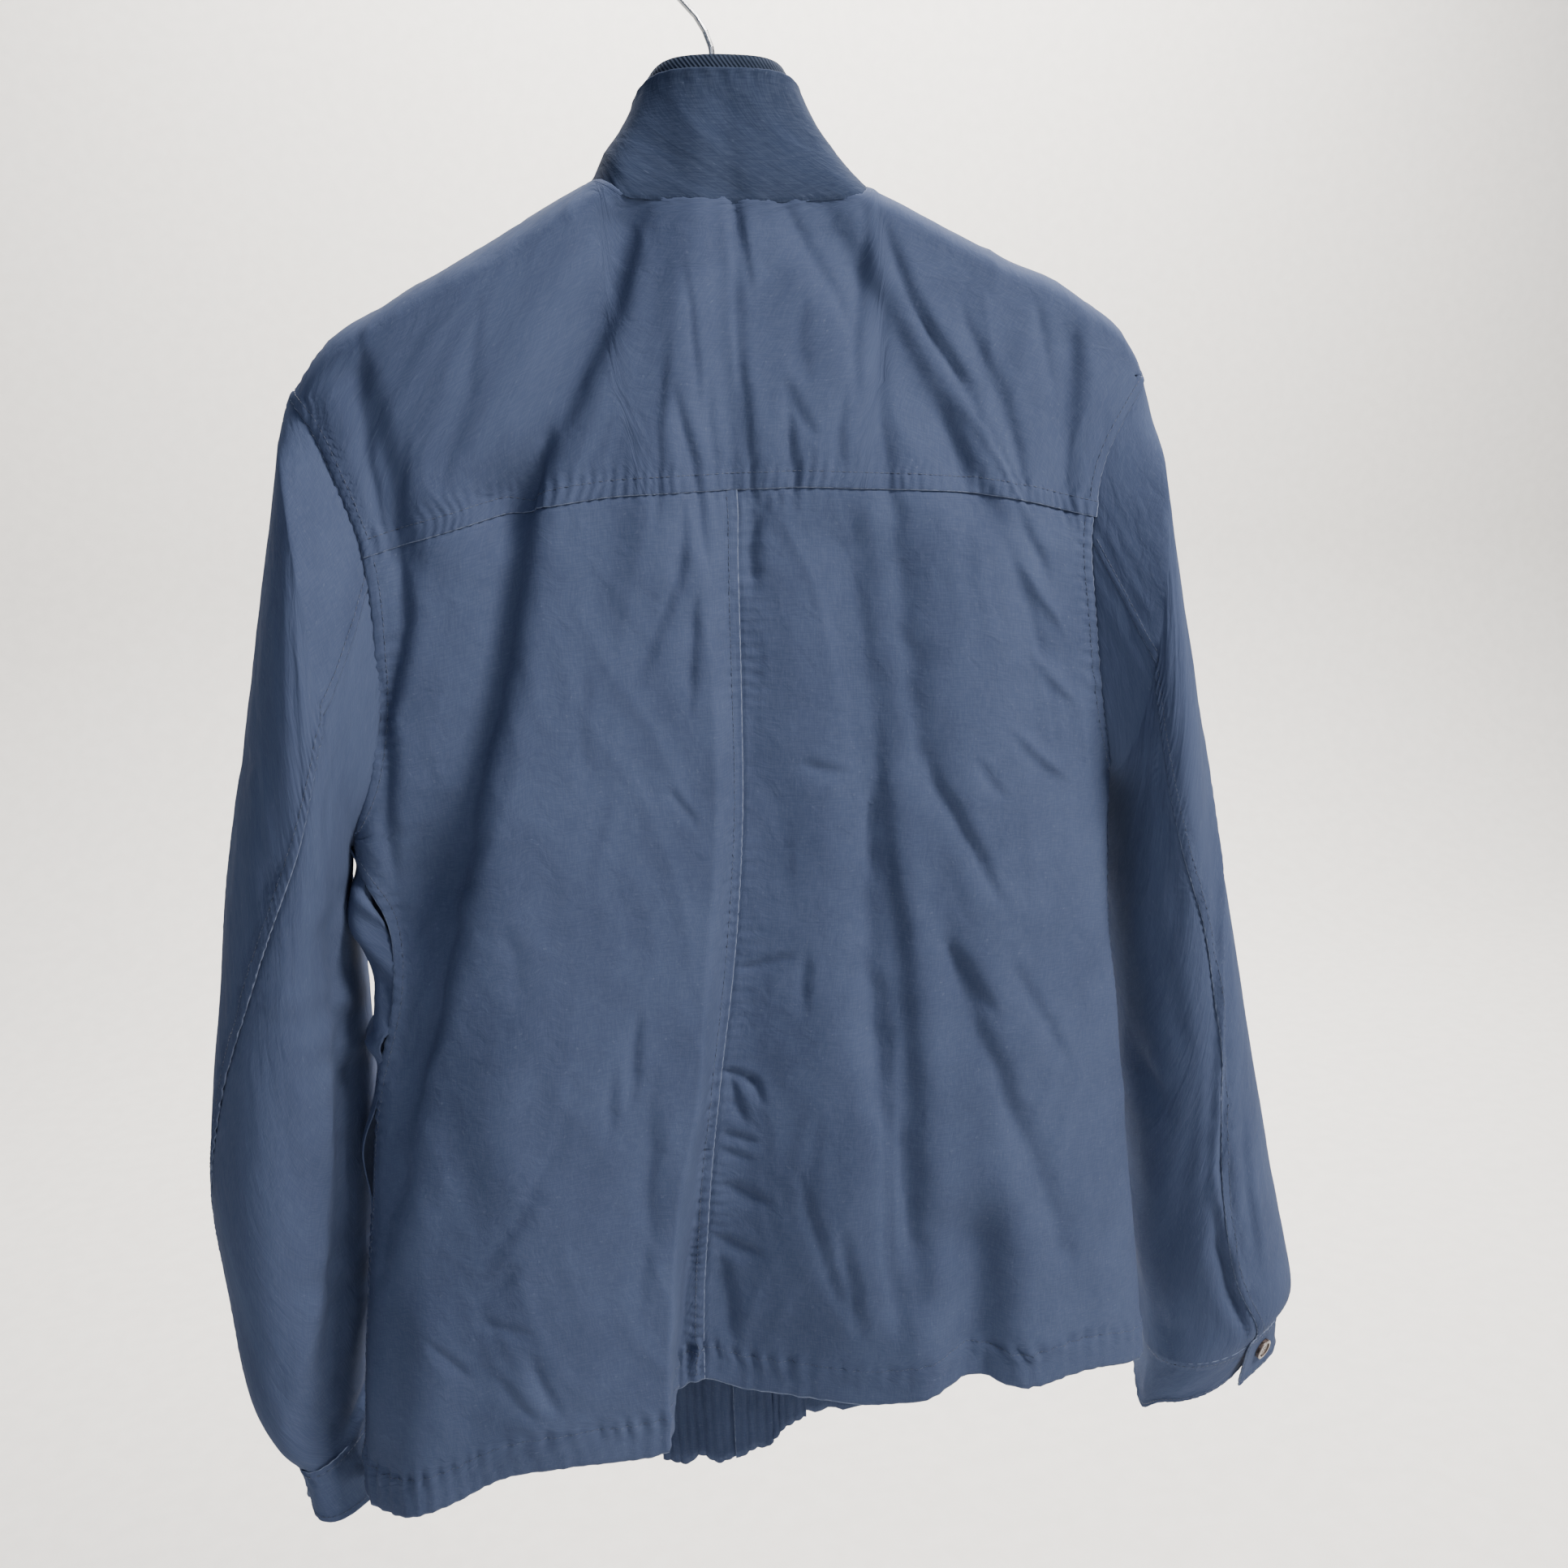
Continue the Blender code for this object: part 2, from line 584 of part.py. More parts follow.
def along(points, count):
    """Points spread evenly by length along a line of points."""
    step = np.linalg.norm(np.diff(points, axis=0), axis=1)
    length = np.concatenate([[0], np.cumsum(step)])
    at = np.linspace(0, length[-1], count)
    return np.stack([np.interp(at, length, points[:, k]) for k in range(3)], -1)


def neck_line(neck_columns):
    """The neck seam from the right front edge over the back to the left front edge."""
    right = front_grid("right", neck_columns, 2, (2, 3))[0, :neck_columns]
    left = front_grid("left", neck_columns, 2, (2, 3))[0, :neck_columns]
    back = yoke_grid(YOKE_NECK_SHARES, 2, 2)[0, 1:-1]
    corners = (right[-1:] + back[:1]) / 2, (left[-1:] + back[-1:]) / 2
    return np.concatenate([right[:-1], corners[0], back[1:-1], corners[1], left[-2::-1]])


def collar_top_line(count):
    """The collar's top edge: a rounded box that dips forward, from the right front edge to the left."""
    reach = math.pi * (1 - 0.03)
    angle = np.linspace(-reach, reach, count * 8)
    middle = (COLLAR_TOP["back_y"] + COLLAR_TOP["front_y"]) / 2
    depth = (COLLAR_TOP["back_y"] - COLLAR_TOP["front_y"]) / 2
    x = COLLAR_TOP["half_width"] * np.sign(np.sin(angle)) * np.abs(np.sin(angle)) ** 0.75
    y = middle + depth * np.sign(np.cos(angle)) * np.abs(np.cos(angle)) ** 0.8
    share = (COLLAR_TOP["back_y"] - y) / (2 * depth)
    z = COLLAR_TOP_Z["back"] + (COLLAR_TOP_Z["front"] - COLLAR_TOP_Z["back"]) * share**1.8
    x += COLLAR_TOP["middle_x"] + (NECK_MIDDLE_X - COLLAR_TOP["middle_x"]) * share
    return along(np.stack([x, y, z], -1), count)


def collar_grid(up):
    """The collar at some heights: 0 is the neck seam, 1 the shell's top edge, and more lies above it."""
    lower = neck_line(NECK_COLUMNS) + np.array([0, 0, COLLAR_CLEARANCE])
    upper = collar_top_line(len(lower))
    up = np.array(up)[:, None, None]
    points = lower + (upper - lower) * up
    away = points - (upper + lower).mean(0) / 2
    away[..., 2] = 0
    hollow = COLLAR_HOLLOW * np.sin(np.pi * np.clip(up, 0, 1))
    return points - hollow * away / np.linalg.norm(away, axis=-1, keepdims=True)


def normals(grid):
    """The direction that each point of a grid faces, from its neighbours on the grid."""
    down, across = np.gradient(grid, axis=0), np.gradient(grid, axis=1)
    facing = np.cross(down, across)
    return facing / np.linalg.norm(facing, axis=-1, keepdims=True)


def clear_scene():
    for thing in list(bpy.data.objects):
        bpy.data.objects.remove(thing, do_unlink=True)
    for group in list(bpy.data.collections):
        bpy.data.collections.remove(group)
    made = {}
    for name in (GROUP, "cutters"):
        made[name] = bpy.data.collections.new(name)
        bpy.context.scene.collection.children.link(made[name])
    made["cutters"].hide_render = True
    return made


def material(name, colour, metallic, roughness):
    """A plain Principled material."""
    made = bpy.data.materials.new(name)
    made.use_nodes = True
    shader = made.node_tree.nodes["Principled BSDF"]
    shader.inputs["Base Color"].default_value = (*colour, 1)
    shader.inputs["Metallic"].default_value = metallic
    shader.inputs["Roughness"].default_value = roughness
    return made


def piece(name, mesh, finish, group=GROUP):
    """Link a named object to its collection and give it its finish."""
    made = bpy.data.objects.new(name, mesh)
    bpy.data.collections[group].objects.link(made)
    if finish:
        mesh.materials.append(bpy.data.materials[finish])
    return made


def sheet(name, grid, wall, flip, finish):
    """A cut piece of cloth: a loft through its grid's rows, thickened inwards from its outer face."""
    rows, columns = grid.shape[:2]
    at = np.arange(rows * columns).reshape(rows, columns)
    loop = [at[:-1, :-1], at[1:, :-1], at[1:, 1:], at[:-1, 1:]]
    faces = np.stack(loop[::-1] if flip else loop, -1).reshape(-1, 4)
    mesh = bpy.data.meshes.new(name)
    mesh.from_pydata(grid.reshape(-1, 3).tolist(), [], faces.tolist())
    mesh.shade_smooth()
    made = piece(name, mesh, finish)
    thicken = made.modifiers.new("wall", "SOLIDIFY")
    thicken.thickness, thicken.offset = wall, -1
    return made


def place_mesh(name, form, place, finish, group):
    """Turn a bmesh into a named object that stands in a frame, with its origin at the frame's own."""
    mesh = bpy.data.meshes.new(name)
    form.to_mesh(mesh)
    form.free()
    made = piece(name, mesh, finish, group)
    made.matrix_world = place
    return made


def box(name, low, high, place, finish=None, group="cutters"):
    """A box between two corners given along a frame's own axes."""
    form = bmesh.new()
    bmesh.ops.create_cube(form, size=1)
    low, high = Vector(low), Vector(high)
    form.transform(Matrix.Translation((low + high) / 2) @ Matrix.Diagonal((*(high - low), 1)))
    return place_mesh(name, form, place, finish, group)


def cylinder(name, radius, depth, place, finish=None, group="cutters", segments=32):
    """A cylinder along a frame's third axis."""
    form = bmesh.new()
    sizes = {"radius1": radius, "radius2": radius, "depth": depth}
    bmesh.ops.create_cone(form, cap_ends=True, segments=segments, **sizes)
    return place_mesh(name, form, place, finish, group)


def join_or_cut(target, other, operation):
    """Boolean another object into a target; the other one stays as a cutter."""
    step = target.modifiers.new(other.name, "BOOLEAN")
    step.operation, step.object, step.solver = operation, other, "EXACT"
    other.display_type = "WIRE"


def rounded(target, width, segments=2):
    soften = target.modifiers.new("rounded", "BEVEL")
    soften.width, soften.segments, soften.limit_method = width, segments, "ANGLE"


def wire(name, points, radius, finish, resolution=4):
    """A round wire along points: a bevelled curve turned into a mesh."""
    curve = bpy.data.curves.new(name, "CURVE")
    curve.dimensions, curve.bevel_depth, curve.bevel_resolution = "3D", radius, resolution
    curve.use_fill_caps = True
    line = curve.splines.new("POLY")
    line.points.add(len(points) - 1)
    for knot, spot in zip(line.points, points):
        knot.co = (*spot, 1)
    holder = bpy.data.objects.new(name + "_line", curve)
    bpy.context.scene.collection.objects.link(holder)
    mesh = bpy.data.meshes.new_from_object(holder.evaluated_get(bpy.context.evaluated_depsgraph_get()))
    bpy.data.objects.remove(holder)
    form = bmesh.new()
    form.from_mesh(mesh)
    bmesh.ops.remove_doubles(form, verts=form.verts, dist=0.01 * MM)
    bmesh.ops.recalc_face_normals(form, faces=form.faces)
    form.to_mesh(mesh)
    form.free()
    mesh.materials.clear()
    mesh.shade_smooth()
    return piece(name, mesh, finish)


def build_body():
    """The yoke, the two lower backs and the two fronts with their facings."""
    sheet("back_yoke", yoke_grid(YOKE_NECK_SHARES, 10, 9), CLOTH, True, "cloth")
    left = np.concatenate([[0, 0.04, 0.08, 0.11, 0.14], spread(0.2, 1, 10)])
    sheet("back_left", back_panel_grid("left", left, BODY_ROWS), CLOTH, True, "cloth")
    sheet("back_right", back_panel_grid("right", spread(0, 1, 15), BODY_ROWS), CLOTH, False, "cloth")
    for side in ("left", "right"):
        right = side == "right"
        sheet("front_" + side, front_grid(side, NECK_COLUMNS, 9, (6, BODY_ROWS)), CLOTH, right, "cloth")
        strip = front_strip(side, FRONT_FACING, 4, 18)
        sheet("front_facing_" + side, strip, FRONT_FACING["wall"], right, "cloth")


def build_collar():
    """The standing collar: its shell and the corduroy facing inside, which stands above the shell."""
    rise = 1 + COLLAR_FACING_RISE / abs(COLLAR_TOP_Z["back"] - NECK_BACK_Z)
    grid = collar_grid([rise, 1, 0.66, 0.33, 0])
    sheet("collar_outer", grid[1:], CLOTH, True, "cloth")
    grid[-1] = grid[-1] * 0.7 + grid[-2] * 0.3
    lining = grid + (CLOTH + COLLAR_GAP) * normals(grid)
    sheet("collar_facing", lining, FACING, True, "corduroy")


def build_sleeves():
    """Two-piece sleeves, and a lapped cuff at the end of each."""
    for side in ("left", "right"):
        right = side == "right"
        sheet("sleeve_top_" + side, sleeve_grid(side, "top", 10, 18), CLOTH, right, "cloth")
        sheet("sleeve_under_" + side, sleeve_grid(side, "under", 9, 18), CLOTH, right, "cloth")
        sheet("cuff_" + side, cuff_grid(side, 24, 2), CUFF_WALL, not right, "cloth")


def cuff_frame(side):
    """The frame of a cuff button: its third axis points out of the middle of the cuff's lap."""
    last = float(len(SLEEVES[side]))
    share = 0.5 * CUFF_LAP / (40 * MM) / (2 * math.pi)
    shares, downs = np.meshgrid(share + np.array([-0.01, 0, 0.01]), np.array([0.4, 0.5, 0.6]))
    patch = cuff_point(side, shares, downs)
    out = normals(patch)[1, 1] * (-1 if side == "left" else 1)
    out = Vector(out).normalized()
    up = Vector((0, 0, 1))
    across = up.cross(out).normalized()
    turn = Matrix((across, out.cross(across), out)).transposed().to_4x4()
    return Matrix.Translation(patch[1, 1]) @ turn


def build_cuff_buttons():
    """A four-hole button on each cuff, with a thick rim round a dished middle."""
    for side in ("left", "right"):
        place = cuff_frame(side)
        seat = place @ Matrix.Translation((0, 0, SEAM_GAP + BUTTON_THICKNESS / 2))
        sizes = (BUTTON_RADIUS, BUTTON_THICKNESS)
        button = cylinder("cuff_button_" + side, *sizes, seat, "horn", GROUP)
        rounded(button, 0.6 * MM)
        top = seat @ Matrix.Translation((0, 0, BUTTON_THICKNESS / 2))
        dish = cylinder("dish_" + side, BUTTON_RADIUS - 2 * MM, 1.6 * MM, top)
        join_or_cut(button, dish, "DIFFERENCE")
        for k in range(4):
            turn = Matrix.Rotation(math.pi * (k / 2 + 0.25), 4, "Z")
            spot = seat @ turn @ Matrix.Translation((1.9 * MM, 0, 0))
            hole = cylinder(f"hole_{side}_{k}", 0.8 * MM, 9 * MM, spot, segments=10)
            join_or_cut(button, hole, "DIFFERENCE")


def zip_frame(z):
    """A frame on the zip's line at a height: first axis across, second inwards, third up the line."""
    spots = [front_point(front_middle(h), h, np.array(1.0)) for h in (z - 6 * MM, z, z + 6 * MM)]
    up = Vector(spots[2] - spots[0])
    up.x = 0
    up.normalize()
    across = Vector((1, 0, 0))
    turn = Matrix((across, up.cross(across), up)).transposed().to_4x4()
    return Matrix.Translation(spots[1]) @ turn


def build_zip():
    """Tapes, chain, slider with its bridge, pull tab on the bridge, and the box at the bottom."""
    for side in ("left", "right"):
        tape = front_strip(side, TAPE, 2, 18)
        sheet("zip_tape_" + side, tape, TAPE["wall"], side == "right", "tape")
    slider_z = ZIP_TOP_Z - SLIDER_LENGTH / 2
    chain = front_strip("left", CHAIN, 2, 18, slider_z + 2.0 * MM, BOX_SIZE[2] + 3 * MM)
    sheet("zip_chain", chain, CHAIN["wall"], False, "brass")
    build_slider(zip_frame(slider_z))
    end = smooth(front_middle(-0.94), ACROSS["x"], ACROSS["front_hem"]) + 2 * MM
    low = (-BOX_SIZE[0] / 2, 0.7 * MM, 0)
    high = (BOX_SIZE[0] / 2, 0.7 * MM + BOX_SIZE[1], BOX_SIZE[2])
    rounded(box("zip_box", low, high, zip_frame(end), "brass", GROUP), 0.5 * MM)


def build_slider(place):
    """The slider: two plates either side of the chain, a post between them, and a bridge in front."""
    half, long = SLIDER_WIDTH / 2, SLIDER_LENGTH / 2
    front_in = CHAIN["inset"] - 0.5 * MM
    back_out = front_in + SLIDER_ROOM
    back_in = back_out + SLIDER_PLATE
    face = front_in - SLIDER_PLATE
    body = box("zip_slider", (-half, face, -long), (half, front_in, long), place, "brass", GROUP)
    back = box("slider_back", (-half, back_out, -long), (half, back_in, long), place)
    post_low = (-2.4 * MM, face + 0.2 * MM, 2.5 * MM)
    post_high = (2.4 * MM, back_in - 0.2 * MM, long - 0.3 * MM)
    post = box("slider_post", post_low, post_high, place)
    arch_low = (-BRIDGE["width"] / 2, face - BRIDGE["height"], -2 * MM)
    arch_high = (BRIDGE["width"] / 2, face + 0.4 * MM, -2 * MM + BRIDGE["length"])
    arch = box("slider_bridge", arch_low, arch_high, place)
    wall = BRIDGE["wall"]
    hole_low = (-3 * MM, face - BRIDGE["height"] + wall, -2 * MM + wall)
    hole_high = (3 * MM, face - 0.5 * MM, -2 * MM + BRIDGE["length"] - wall)
    hole = box("slider_eye", hole_low, hole_high, place)
    for other, operation in ((back, "UNION"), (post, "UNION"), (arch, "UNION"), (hole, "DIFFERENCE")):
        join_or_cut(body, other, operation)
    pivot = (hole_low[1] + hole_high[1]) / 2
    build_pull(place @ Matrix.Translation((0, pivot, 2 * MM)))


def build_pull(place):
    """The pull tab: a plate with a window round the bridge; its top bar passes through the bridge."""
    half, bar = PULL["width"] / 2, PULL["thickness"] / 2
    foot = bar - PULL["length"]
    tab = box("zip_pull", (-half, -bar, foot), (half, bar, bar), place, "brass", GROUP)
    low = (-2.1 * MM, -5 * MM, -bar - PULL["window"])
    window = box("pull_window", low, (2.1 * MM, 5 * MM, -bar), place)
    eye_place = place @ Matrix.Translation((0, 0, foot + 5 * MM)) @ Matrix.Rotation(math.pi / 2, 4, "X")
    eye = cylinder("pull_eye", 1.8 * MM, 9 * MM, eye_place, segments=20)
    join_or_cut(tab, window, "DIFFERENCE")
    join_or_cut(tab, eye, "DIFFERENCE")
    rounded(tab, 0.4 * MM)


def hanger_grid(rows, columns):
    """Rings along the hanger bar, which follows the shoulders and thins towards its ends."""
    x = np.linspace(-HANGER_HALF_LENGTH, HANGER_HALF_LENGTH, columns)[None, :]
    angle = np.linspace(0, 2 * math.pi, rows, endpoint=False)[:, None]
    end = np.sqrt(np.clip(1 - (np.abs(x) / (HANGER_HALF_LENGTH + 1 * MM)) ** 8, 0, 1))
    height = HANGER_HEIGHT * (0.72 + 0.28 * (1 - ease(np.abs(x), 0, 0.2))) / 2 * end
    y = HANGER_THICKNESS / 2 * end * np.sign(np.cos(angle)) * np.abs(np.cos(angle)) ** 0.7
    top = shoulder_z(x) - HANGER_CLEARANCE - 3 * MM * ease(np.abs(x), 0.15, 0.19)
    z = top - height + height * np.sign(np.sin(angle)) * np.abs(np.sin(angle)) ** 0.7
    return np.stack([x + 0 * angle, y, z], -1)


def build_hanger():
    """A shaped wooden bar and the wire hook that stands in it."""
    grid = hanger_grid(16, 33)
    rows, columns = grid.shape[:2]
    at = np.arange(rows * columns).reshape(rows, columns)
    below = np.roll(at, -1, axis=0)
    faces = np.stack([at[:, :-1], at[:, 1:], below[:, 1:], below[:, :-1]], -1).reshape(-1, 4).tolist()
    faces += [at[:, 0].tolist(), at[::-1, -1].tolist()]
    mesh = bpy.data.meshes.new("hanger_bar")
    mesh.from_pydata(grid.reshape(-1, 3).tolist(), [], faces)
    form = bmesh.new()
    form.from_mesh(mesh)
    bmesh.ops.recalc_face_normals(form, faces=form.faces)
    form.to_mesh(mesh)
    form.free()
    bar = piece("hanger_bar", mesh, "wood")
    foot = shoulder_z(2 * MM) - HANGER_CLEARANCE
    hole = Matrix.Translation((2 * MM, 0, foot))
    socket = cylinder("hook_socket", WIRE_RADIUS + SEAM_GAP, 24 * MM, hole, segments=16)
    join_or_cut(bar, socket, "DIFFERENCE")
    ring = HOOK_RADIUS + WIRE_RADIUS
    turns = np.radians(np.linspace(-50, 200, 40))
    arc = np.stack([ring * np.cos(turns), 0 * turns, ring * np.sin(turns) - HOOK_RADIUS], -1)
    stem = [(2 * MM, 0, foot - 11 * MM), (2 * MM, 0, -74 * MM), (2.6 * MM, 0, -68 * MM)]
    stem += [(5.5 * MM, 0, -60.5 * MM), (10 * MM, 0, -53.5 * MM)]
    wire("hanger_hook", np.concatenate([stem, arc]), WIRE_RADIUS, "wire")


def main():
    clear_scene()
    material("cloth", (0.045, 0.06, 0.1), 0.0, 0.9)
    material("corduroy", (0.03, 0.04, 0.045), 0.0, 0.95)
    material("horn", (0.12, 0.08, 0.06), 0.0, 0.35)
    material("tape", (0.02, 0.025, 0.04), 0.0, 0.8)
    material("brass", (0.5, 0.38, 0.18), 1.0, 0.35)
    material("wood", (0.42, 0.26, 0.13), 0.0, 0.5)
    material("wire", (0.7, 0.7, 0.7), 1.0, 0.25)
    build_body()
    build_collar()
    build_sleeves()
    build_cuff_buttons()
    build_zip()
    build_hanger()


main()
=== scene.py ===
"""A harrington jacket on a wooden hanger: hook and bar, the cut cloth of the body, collar and
sleeves, cuffs and buttons, the zip with its pull tab, the rows of stitches, and a plain room.

Metres. The origin is the point of the hook that rests on a rail, +X is the wearer's left and +Y
lies behind the wearer's back. Tables and lists of seams are in millimetres.
"""

import math

import bpy
import numpy as np
from mathutils import Matrix, Vector


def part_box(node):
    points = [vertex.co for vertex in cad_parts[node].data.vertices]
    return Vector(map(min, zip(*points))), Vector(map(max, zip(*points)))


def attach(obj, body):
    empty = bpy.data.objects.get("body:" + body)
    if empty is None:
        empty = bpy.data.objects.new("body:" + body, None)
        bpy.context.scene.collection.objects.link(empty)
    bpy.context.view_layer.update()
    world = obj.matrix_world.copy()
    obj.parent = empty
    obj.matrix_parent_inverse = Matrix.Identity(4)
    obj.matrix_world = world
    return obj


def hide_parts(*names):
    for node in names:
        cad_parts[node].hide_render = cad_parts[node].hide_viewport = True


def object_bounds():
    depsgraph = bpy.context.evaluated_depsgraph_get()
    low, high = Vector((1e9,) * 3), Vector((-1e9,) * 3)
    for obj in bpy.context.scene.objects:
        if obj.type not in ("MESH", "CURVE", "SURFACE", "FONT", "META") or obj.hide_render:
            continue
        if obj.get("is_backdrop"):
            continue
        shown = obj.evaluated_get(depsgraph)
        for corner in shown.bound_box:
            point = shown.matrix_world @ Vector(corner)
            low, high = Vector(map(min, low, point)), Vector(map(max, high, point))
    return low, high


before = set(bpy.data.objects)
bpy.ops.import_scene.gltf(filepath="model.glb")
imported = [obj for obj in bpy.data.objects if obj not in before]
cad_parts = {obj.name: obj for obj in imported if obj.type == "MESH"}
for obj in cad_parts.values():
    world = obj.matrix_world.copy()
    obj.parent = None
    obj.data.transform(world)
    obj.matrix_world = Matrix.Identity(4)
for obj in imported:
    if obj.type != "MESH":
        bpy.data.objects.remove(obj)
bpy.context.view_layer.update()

MM = 0.001


# -------------------------------------------------------------------------------
# Hanger hook. A bent and polished steel wire, plated, that rises from the bar through the collar.
# -------------------------------------------------------------------------------


def linear(colour):
    """An sRGB hex colour as linear light: each channel is divided by 12.92 or raised to 2.4."""
    parts = np.array([int(colour[k : k + 2], 16) for k in (0, 2, 4)]) / 255
    light = np.where(parts <= 0.04045, parts / 12.92, ((parts + 0.055) / 1.055) ** 2.4)
    return (*light.tolist(), 1.0)


def add(tree, kind, sockets=None, out=0, **settings):
    """Add a shader node with its settings, set or link its sockets, and give back one output."""
    made = tree.nodes.new("ShaderNode" + kind)
    for name, value in settings.items():
        setattr(made, name, value)
    for name, value in (sockets or {}).items():
        if isinstance(value, bpy.types.NodeSocket):
            tree.links.new(value, made.inputs[name])
        else:
            made.inputs[name].default_value = value
    return made.outputs[out]


def surface(name, **values):
    """A new material, and its tree and shader; the values are the shader's uniform sockets."""
    made = bpy.data.materials.new(name)
    made.use_nodes = True
    tree = made.node_tree
    shader = tree.nodes["Principled BSDF"]
    for socket, value in values.items():
        shader.inputs[socket.replace("_", " ")].default_value = value
    return made, tree, shader


def ramp(tree, value, *stops):
    """A colour ramp with soft stops of place and sRGB hex."""
    made = tree.nodes.new("ShaderNodeValToRGB")
    made.color_ramp.interpolation = "EASE"
    while len(made.color_ramp.elements) < len(stops):
        made.color_ramp.elements.new(0.5)
    for element, (place, colour) in zip(made.color_ramp.elements, stops):
        element.position = place
        element.color = linear(colour)
    tree.links.new(value, made.inputs["Fac"])
    return made.outputs["Color"]


def blended(tree, share, first, second):
    """Two colours mixed by a share."""
    sockets = {0: share, 6: first, 7: second}
    return add(tree, "Mix", sockets, out=2, data_type="RGBA")


def span(tree, value, low, high, to_low=0.0, to_high=1.0):
    """A value taken from one range to another, and held at its ends."""
    sockets = {"Value": value, 1: low, 2: high, 3: to_low, 4: to_high}
    return add(tree, "MapRange", sockets, interpolation_type="SMOOTHSTEP")


def noise(tree, place, scale, detail, stretch=None, **sockets):
    """Noise with so many waves a metre, drawn out along the axes where a stretch is given."""
    if stretch:
        place = add(tree, "Mapping", {"Vector": place, "Scale": stretch})
    sockets.update(Vector=place, Scale=scale, Detail=detail)
    return add(tree, "TexNoise", sockets)


def bumped(tree, shader, height, distance, strength=1.0, normal=None):
    """A bump of some height in metres, on the shader or over another bump."""
    sockets = {"Height": height, "Distance": distance, "Strength": strength}
    if normal is not None:
        sockets["Normal"] = normal
    made = add(tree, "Bump", sockets)
    tree.links.new(made, shader.inputs["Normal"])
    return made


def cover(name, finish):
    """Give a solid of the frame its finish."""
    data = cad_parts[name].data
    data.materials.clear()
    data.materials.append(finish)


# Zinc-plated steel wire: a bright metal with faint drawing lines along it.
steel, tree, shader = surface("zinc_plated_steel_wire", Metallic=1.0)
place = add(tree, "TexCoord", out="Object")
lines = noise(tree, place, 2400.0, 3.0, (1.0, 1.0, 0.15))
cloudy = noise(tree, place, 90.0, 2.0)
tree.links.new(ramp(tree, cloudy, (0.35, "b9bcc0"), (0.7, "d9dbdd")), shader.inputs["Base Color"])
tree.links.new(span(tree, lines, 0.3, 0.7, 0.16, 0.3), shader.inputs["Roughness"])
bumped(tree, shader, lines, 0.00004, 0.5)

cover("hanger_hook", steel)

# -------------------------------------------------------------------------------
# Hanger bar. A shaped bar of beech, sanded and varnished; the shoulders of the cloth hang on it.
# -------------------------------------------------------------------------------

# Varnished beech: pale brown with short darker flecks along the grain and a thin gloss.
varnish = {"Coat_Weight": 0.5, "Coat_Roughness": 0.15}
beech, tree, shader = surface("varnished_beech", Roughness=0.4, **varnish)
place = add(tree, "TexCoord", out="Object")
along_grain = (0.06, 1.0, 1.0)
grain = noise(tree, place, 620.0, 4.0, along_grain)
flecks = noise(tree, place, 1900.0, 2.0, along_grain)
tone = ramp(tree, grain, (0.3, "9a6a3d"), (0.7, "c39663"))
dark = span(tree, flecks, 0.6, 0.72)
tree.links.new(blended(tree, dark, tone, linear("6f4526")), shader.inputs["Base Color"])
bumped(tree, shader, grain, 0.0002, 0.3)

cover("hanger_bar", beech)

# -------------------------------------------------------------------------------
# Back yoke. One piece of cotton cloth over both shoulders; its lower edge is turned under and sewn
# over the lower backs, with a row of stitches a centimetre above.
# -------------------------------------------------------------------------------

SIDES = ("left", "right")
SIGN = {"left": 1, "right": -1}
CLOTH_WALL = 0.8 * MM
SEAM_GAP = 0.3 * MM
# How far the edge of a piece below runs on under the piece that is sewn over it.
TUCK = 4.0 * MM
# How much higher the cloth lies where it is sewn in two layers.
LAYER = 0.6 * MM
# The level sections are superellipses of this power.
SECTION_POWER = 3.0
FOLD_COLUMNS = "x0 z0 x1 z1 bow width height"
SHOULDER_ROUNDING = 16 * MM
SHOULDER_SEAM_DROP = 4 * MM
NECK_HALF_WIDTH = 82 * MM
NECK_MIDDLE_X = -6 * MM
NECK_BACK_Z = -146 * MM
NECK_BACK_RISE = 5 * MM
ARMPIT_Z = -472 * MM


def table(columns, *rows):
    """Named columns of a table of sizes, turned from millimetres into metres."""
    return dict(zip(columns.split(), np.array(rows, dtype=float).T * MM))


# The shoulder line, seen from behind.
SHOULDER = table(
    "x z",
    (-244, -240),
    (-230, -217),
    (-202, -196),
    (-140, -167),
    (-80, -138),
    (0, -112),
    (80, -140),
    (130, -169),
    (180, -195),
    (212, -215),
    (232, -240),
)
# Level sections of the body: its half widths, and how far back, side and front lie from the hanger.
BODY = table(
    "z left right back side front",
    (-100, 233, 245, 34, 0, -26),
    (-146, 233, 245, 36, 0, -30),
    (-240, 233, 245, 46, 2, -42),
    (-322, 228, 238, 51, 6, -50),
    (-400, 222, 229, 56, 12, -54),
    (-472, 221, 223, 60, 14, -56),
    (-560, 218, 224, 65, 15, -55),
    (-640, 224, 233, 69, 14, -52),
    (-709, 233, 241, 71, 13, -48),
    (-816, 246, 252, 72, 12, -40),
    (-902, 253, 261, 70, 10, -32),
    (-940, 255, 264, 70, 10, -30),
)
# The armhole edge of the back, from the shoulder down to the armpit.
BACK_EDGE = table(
    "z left right",
    (-240, 232, 244),
    (-256, 222, 230),
    (-280, 213, 213),
    (-322, 201, 203),
    (-378, 200, 206),
    (-409, 203, 209),
    (-440, 209, 214),
    (-472, 221, 223),
)
